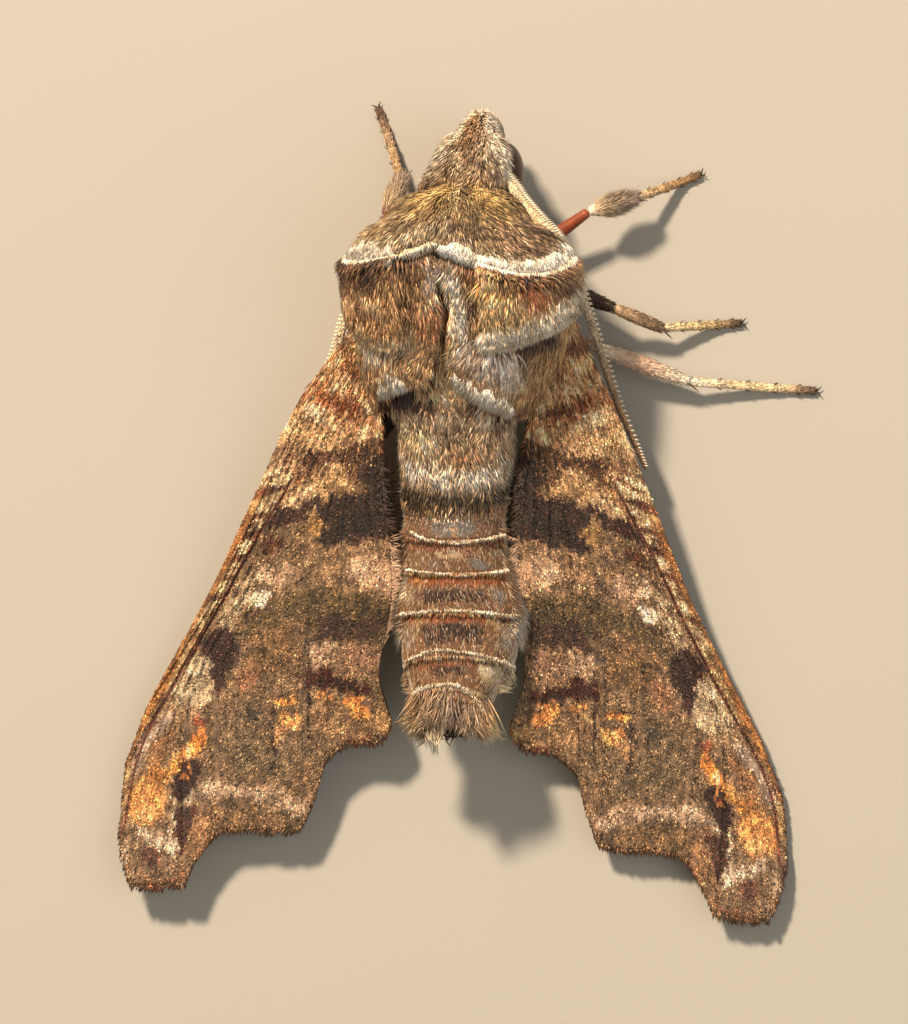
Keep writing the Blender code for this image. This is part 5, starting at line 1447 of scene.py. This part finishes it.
def makePalp(label, side):
    points = [(1.0 + side * 0.6, 16.9, 2.0), (1.1 + side * 0.62, 18.0, 2.45),
              (1.15 + side * 0.5, 18.5, 3.3), (1.26 + side * 0.22, 18.95, 4.3)]
    tintOf = plainTint("greyBrown", "brown", "#9c8b7e", "#c9bba9")
    palp = wrapBall(20, 24, limbPlace(points, palpLook["radii"], tintOf, None, 0.08))
    finishPiece(palp, "palp_skin_" + label, hairScales, "fur", ["palp_" + label])
    coatLimb("palp_hair_" + label, points, palpLook["radii"], palpLook["hairs"], 0.42, 0.075,
             12, tintOf, "fur", 90 + side, lean=(-0.3 * side, 0.5, 0.3),
             steps=((0.0, 0.7), (0.4, 1.0)))


for label, side in (("right", 1), ("left", -1)):
    makeEye(label, side)
    makeAntenna(label, side)
    makePalp(label, side)
print("head parts ready")

# Legs: hip, knee, ankle and foot, the radii of femur, tibia and foot, and their paints.
soleHeight = 0.17
legCoat = {"femur": (40, 1100, 0.3), "tibia": (40, 1500, 0.3),
           "tarsus": (100, 1500, 0.2)}           # rings of the mesh, scales and their length
legLook = {
    "fore_right": {"joints": ((2.9, 12.2, 1.55), (6.25, 14.4, 2.45), (8.3, 15.0, 2.1),
                   (11.35, 16.25, soleHeight)), "radii": (0.34, 0.46, 0.2),
                   "femur": ("chestnut", "#7c3d24", "#8a4528"),
                   "tibia": ("white", "greyBrown", "tan"),
                   "tarsus": ("cream", "gold", "brown")},
    "fore_left": {"joints": ((-1.9, 12.9, 1.55), (-3.75, 14.3, 2.3), (-3.12, 16.0, 1.6),
                  (-4.5, 19.6, soleHeight)), "radii": (0.34, 0.34, 0.2),
                  "femur": ("chestnut", "chestnut"), "tibia": ("brown", "tan"),
                  "tarsus": ("gold", "tan", "umber")},
    "mid_right": {"joints": ((3.3, 11.3, 1.5), (7.45, 9.75, 2.25), (9.65, 8.8, 1.35),
                  (13.35, 9.05, soleHeight)), "radii": (0.45, 0.3, 0.2),
                  "femur": ("umber", "darkBrown"), "tibia": ("tan", "goldOlive"),
                  "tarsus": ("cream", "paleGold", "umber")},
    "mid_left": {"joints": ((-1.6, 10.4, 1.4), (-5.2, 9.0, 2.0), (-6.5, 6.8, 1.3),
                 (-8.4, 3.3, soleHeight)), "radii": (0.45, 0.3, 0.2),
                 "femur": ("umber", "brown"), "tibia": ("tan", "goldOlive"),
                 "tarsus": ("cream", "paleGold", "umber")},
    "hind_right": {"joints": ((2.6, 8.6, 1.5), (6.3, 7.95, 1.9), (10.95, 6.2, 1.15),
                   (17.0, 5.75, soleHeight)), "radii": (0.42, 0.42, 0.2),
                   "femur": ("pinkBrown", "pink"), "tibia": ("white", "pink", "white"),
                   "tarsus": ("white", "cream", "cream", "umber")},
    "hind_left": {"joints": ((-1.4, 8.2, 1.4), (-4.4, 6.9, 1.9), (-5.7, 3.2, 1.2),
                  (-7.0, -2.2, soleHeight)), "radii": (0.42, 0.42, 0.2),
                  "femur": ("pinkBrown", "pink"), "tibia": ("white", "pink", "white"),
                  "tarsus": ("white", "cream", "cream", "umber")},
}


def thorns(root, lie, out, length, width, lift, sway, colours, bake):
    # stiff hairs: spines, claws and spurs
    count = len(root)
    tint, tipTint = (np.tile(paint(name), (count, 1)) for name in colours)
    return {"root": root, "lie": unit(lie), "out": out, "length": np.resize(length, count),
            "width": np.full(count, width), "lift": np.full(count, lift),
            "sway": np.resize(sway, count), "tint": tint, "tipTint": tipTint, "bake": bake}


def makeLeg(label, look, seed):
    hip, knee, ankle, foot = (np.array(joint) for joint in look["joints"])
    thigh, shin, toe = look["radii"]

    def jointed(part, angle):
        # five foot joints, each wider at its far end
        return 0.78 + 0.34 * (part * 5 % 1.0) ** 2

    landing = ankle + (foot - ankle) * 0.72
    landing[2] = foot[2] + 0.1
    bend = ankle + (foot - ankle) * 0.36
    bend[2] = ankle[2] * 0.5 + foot[2] * 0.5
    runs = {
        "femur": ([hip, (hip + knee) / 2, knee], (thigh * 0.8, thigh, 0.24), None),
        "tibia": ([knee, (knee + ankle) / 2, ankle], (0.22, shin, 0.22), None),
        "tarsus": ([ankle, bend, landing, foot], (toe, toe, toe * 0.9, toe * 0.85), jointed),
    }
    for k, (bone, (points, radii, shape)) in enumerate(runs.items()):
        tintOf = plainTint(*look[bone])
        along, count, length = legCoat[bone]
        limb = wrapBall(16, along, limbPlace(points, radii, tintOf, shape))
        finishPiece(limb, "%s_cuticle_%s" % (bone, label), limbCuticle, "leg",
                    ["%s_%s" % (bone, label)])
        if (bone, label) != ("femur", "fore_right"):
            coatLimb("%s_scales_%s" % (bone, label), points, radii, count, length, 0.07, 12,
                     tintOf, "leg", seed + k)
    points, radii, _ = runs["tibia"]
    if label.startswith("fore"):
        coatLimb("tibia_pad_" + label, points, radii, 1500, 0.62, 0.07, 36,
                 plainTint("cream", "#a39079", "pinkGrey"), "leg", seed + 7, parts=(0.15, 1.0))
    middle, run, side, top, _ = limbCurve(points, radii, np.array((0.96, 0.97)))
    pair = np.array([[1], [-1]])
    spurs = thorns(middle, run + side * 0.35 * pair, top, (0.95, 0.7), 0.12, -6.0, 0.0,
                   ("tan", "umber"), np.array([(0.2, 0.2), (0.8, 0.8)]))
    points, radii, _ = runs["tarsus"]
    middle, run, side, top, radius = limbCurve(points, radii, np.repeat((0.2, 0.4, 0.6, 0.8), 4))
    lean = np.radians(np.tile((-35, 215, 20, 160), 4))
    out = unit(side * np.cos(lean)[:, None] + top * np.sin(lean)[:, None])
    spines = thorns(middle + out * (radius * 0.8)[:, None], run * 1.2 + out * 0.7, top, 0.34,
                    0.07, 0.0, 0.0, ("umber", "black"),
                    np.stack([np.arange(16) / 16, lean], 1))
    claw = thorns(np.tile(foot, (2, 1)) - (0, 0, 0.02),
                  unit(foot - landing) * (1, 1, 0) + pair * 0.45 * side[-1],
                  np.tile((0.0, 0.0, 1.0), (2, 1)), 0.42, 0.1, 18.0, (-0.3, 0.3),
                  ("umber", "black"), np.array([(0.1, 0.0), (0.9, 1.0)]))
    sharp = {key: np.concatenate([spines[key], claw[key], spurs[key]]) for key in spines}
    growTufts("claws_" + label, sharp, [(0.0, 1.0), (0.4, 0.8), (0.75, 0.5)], limbCuticle, "leg")


for number, (label, look) in enumerate(legLook.items()):
    makeLeg(label, look, 100 + 10 * number)
print("legs ready")

# Tail tuft, lock by lock: root turn and its spread in degrees, root y, tip, hairs, spread of
# the tips, and paints of the root and of the tip.
tailLook = {"width": 0.085, "seed": 140, "locks": [
    (-75, 44, -8.9, (-2.3, -10.7, 5.2), 560, 0.35, "brown", "#c4a27c"),
    (-60, 36, -9.3, (-2.0, -11.2, 5.0), 520, 0.3, "brown", "#d8bc98"),
    (-105, 34, -9.4, (-1.6, -11.3, 4.6), 420, 0.3, "umber", "white"),
    (-28, 34, -9.0, (-1.0, -10.5, 6.7), 620, 0.35, "#6b5140", "#a58a70"),
    (5, 34, -9.0, (-0.1, -10.7, 6.8), 620, 0.35, "umber", "#a08a78"),
    (35, 30, -9.2, (0.8, -11.0, 6.2), 520, 0.3, "brown", "#b39b86"),
    (66, 34, -9.3, (1.6, -11.15, 5.6), 560, 0.3, "#75604f", "#b99878"),
    (88, 34, -9.3, (2.05, -11.2, 4.9), 520, 0.35, "brown", "#e0c08e"),
    (105, 30, -9.4, (1.6, -11.3, 4.6), 420, 0.3, "umber", "white"),
    (95, 16, -7.5, (2.75, -8.6, 4.1), 380, 0.2, "#9a7c62", "cream"),
    (-95, 14, -7.7, (-2.5, -8.6, 4.3), 200, 0.2, "brown", "tan"),
    (-15, 20, -9.9, (-0.65, -11.85, 5.9), 200, 0.14, "tan", "white"),
    (180, 70, -9.2, (-0.1, -10.8, 4.9), 560, 0.5, "umber", "darkBrown")]}


def makeTail():
    chance = np.random.default_rng(tailLook["seed"])
    rows = {key: [] for key in ("root", "lie", "out", "length", "tint", "tipTint", "bake")}
    for turn, wide, front, tip, count, spread, rootPaint, tipPaint in tailLook["locks"]:
        angle = np.radians(chance.normal(turn, wide / 2.2, count))
        y = front - chance.uniform(-0.3, 1.3, count)
        root = bodyPoint(y, angle, -0.3)
        share = (0.25 + 0.75 * chance.uniform(0, 1, count) ** 2)[:, None]
        aim = np.array(tip) + chance.normal(0, spread, (count, 3)) * (1, 0.6, 0.6)
        reach = (aim - root) * share
        rows["root"].append(root)
        rows["lie"].append(reach)
        rows["out"].append(unit(root - bodyMiddle(y)))
        rows["length"].append(np.linalg.norm(reach, axis=1))
        shade = uneven(chance, 0.2, 0.5, 1.5, count)
        rows["tint"].append(paint(rootPaint) * shade * 0.8)
        rows["tipTint"].append(paint(tipPaint) * shade * 1.3)
        rows["bake"].append(np.stack([angle / 6.3, y], 1))
    tufts = {key: np.concatenate(value) for key, value in rows.items()}
    count = len(tufts["root"])
    tufts.update(width=tailLook["width"] * chance.uniform(0.75, 1.25, count),
                 lift=chance.uniform(2, 13, count), sway=chance.normal(0, 0.09, count))
    growTufts("tail_hair", tufts, [(0.0, 0.6), (0.5, 1.0)], hairScales, "tuft")


makeTail()
print("tail ready")

# Floor, soft light and camera.
stageLook = {"floor": "#a5a5a1", "world": 0.36, "frameHeight": 1024, "perMm": 20.5,
             "target": (-0.78, -0.098, 0.0), "tilt": 10.0, "lens": 250.0, "sensor": 36.0}
bpy.ops.object.select_all(action="DESELECT")
bpy.ops.mesh.primitive_plane_add(size=1.2, location=(0, 0, 0))
floor = bpy.context.object
floor.name = "floor"
# Matt painted board: pale and even, with the faintest tooth.
board, tree, shader = newMaterial("matt painted board", {"Roughness": 0.8, "IOR": 1.45,
                                  "Base Color": linearColour(stageLook["floor"])})
spot = addNode(tree, "ShaderNodeTexCoord")
tooth = addNode(tree, "ShaderNodeTexNoise", {"Scale": 1 / (0.4 * mm), "Detail": 2.0},
                {"Vector": spot.outputs["Object"]})
relief = addNode(tree, "ShaderNodeBump", {"Strength": 0.1, "Distance": 0.02 * mm},
                 {"Height": tooth.outputs["Fac"]})
tree.links.new(relief.outputs["Normal"], shader.inputs["Normal"])
floor.data.materials.append(board)

world = bpy.data.worlds.new("soft studio")
world.use_nodes = True
sky = world.node_tree.nodes["Background"].inputs
sky["Color"].default_value = linearColour("#ffedd2")
sky["Strength"].default_value = stageLook["world"]
bpy.context.scene.world = world

lights = {
    "key": {"place": (-0.16, 0.34, 0.42), "size": 0.06, "power": 6.2, "colour": "#ffe3c2"},
    "fill": {"place": (0.35, -0.05, 0.4), "size": 0.4, "power": 0.9, "colour": "#f4f1ee"},
}
for name, look in lights.items():
    bpy.ops.object.light_add(type="AREA", location=look["place"])
    lamp = bpy.context.object
    lamp.name = name
    lamp.data.size = look["size"]
    lamp.data.energy = look["power"]
    lamp.data.color = linearColour(look["colour"])[:3]
    lamp.rotation_euler = Vector(look["place"]).to_track_quat("Z", "Y").to_euler()

tilt = math.radians(stageLook["tilt"])
away = Vector((math.sin(tilt), 0, math.cos(tilt)))
camera = bpy.data.objects.new("camera", bpy.data.cameras.new("camera"))
bpy.context.scene.collection.objects.link(camera)
camera.data.sensor_fit = "VERTICAL"
camera.data.sensor_height = stageLook["sensor"]
camera.data.lens = stageLook["lens"]
camera.data.clip_start = 0.001
reach = (mm * stageLook["frameHeight"] / stageLook["perMm"]
         * stageLook["lens"] / stageLook["sensor"])
right = Vector((0, 1, 0)).cross(away).normalized()
up = away.cross(right)
camera.matrix_world = Matrix((right, up, away)).transposed().to_4x4()
camera.location = Vector(stageLook["target"]) * mm + away * reach
bpy.context.scene.camera = camera
bpy.context.scene.view_settings.view_transform = "Standard"
print("stage ready")
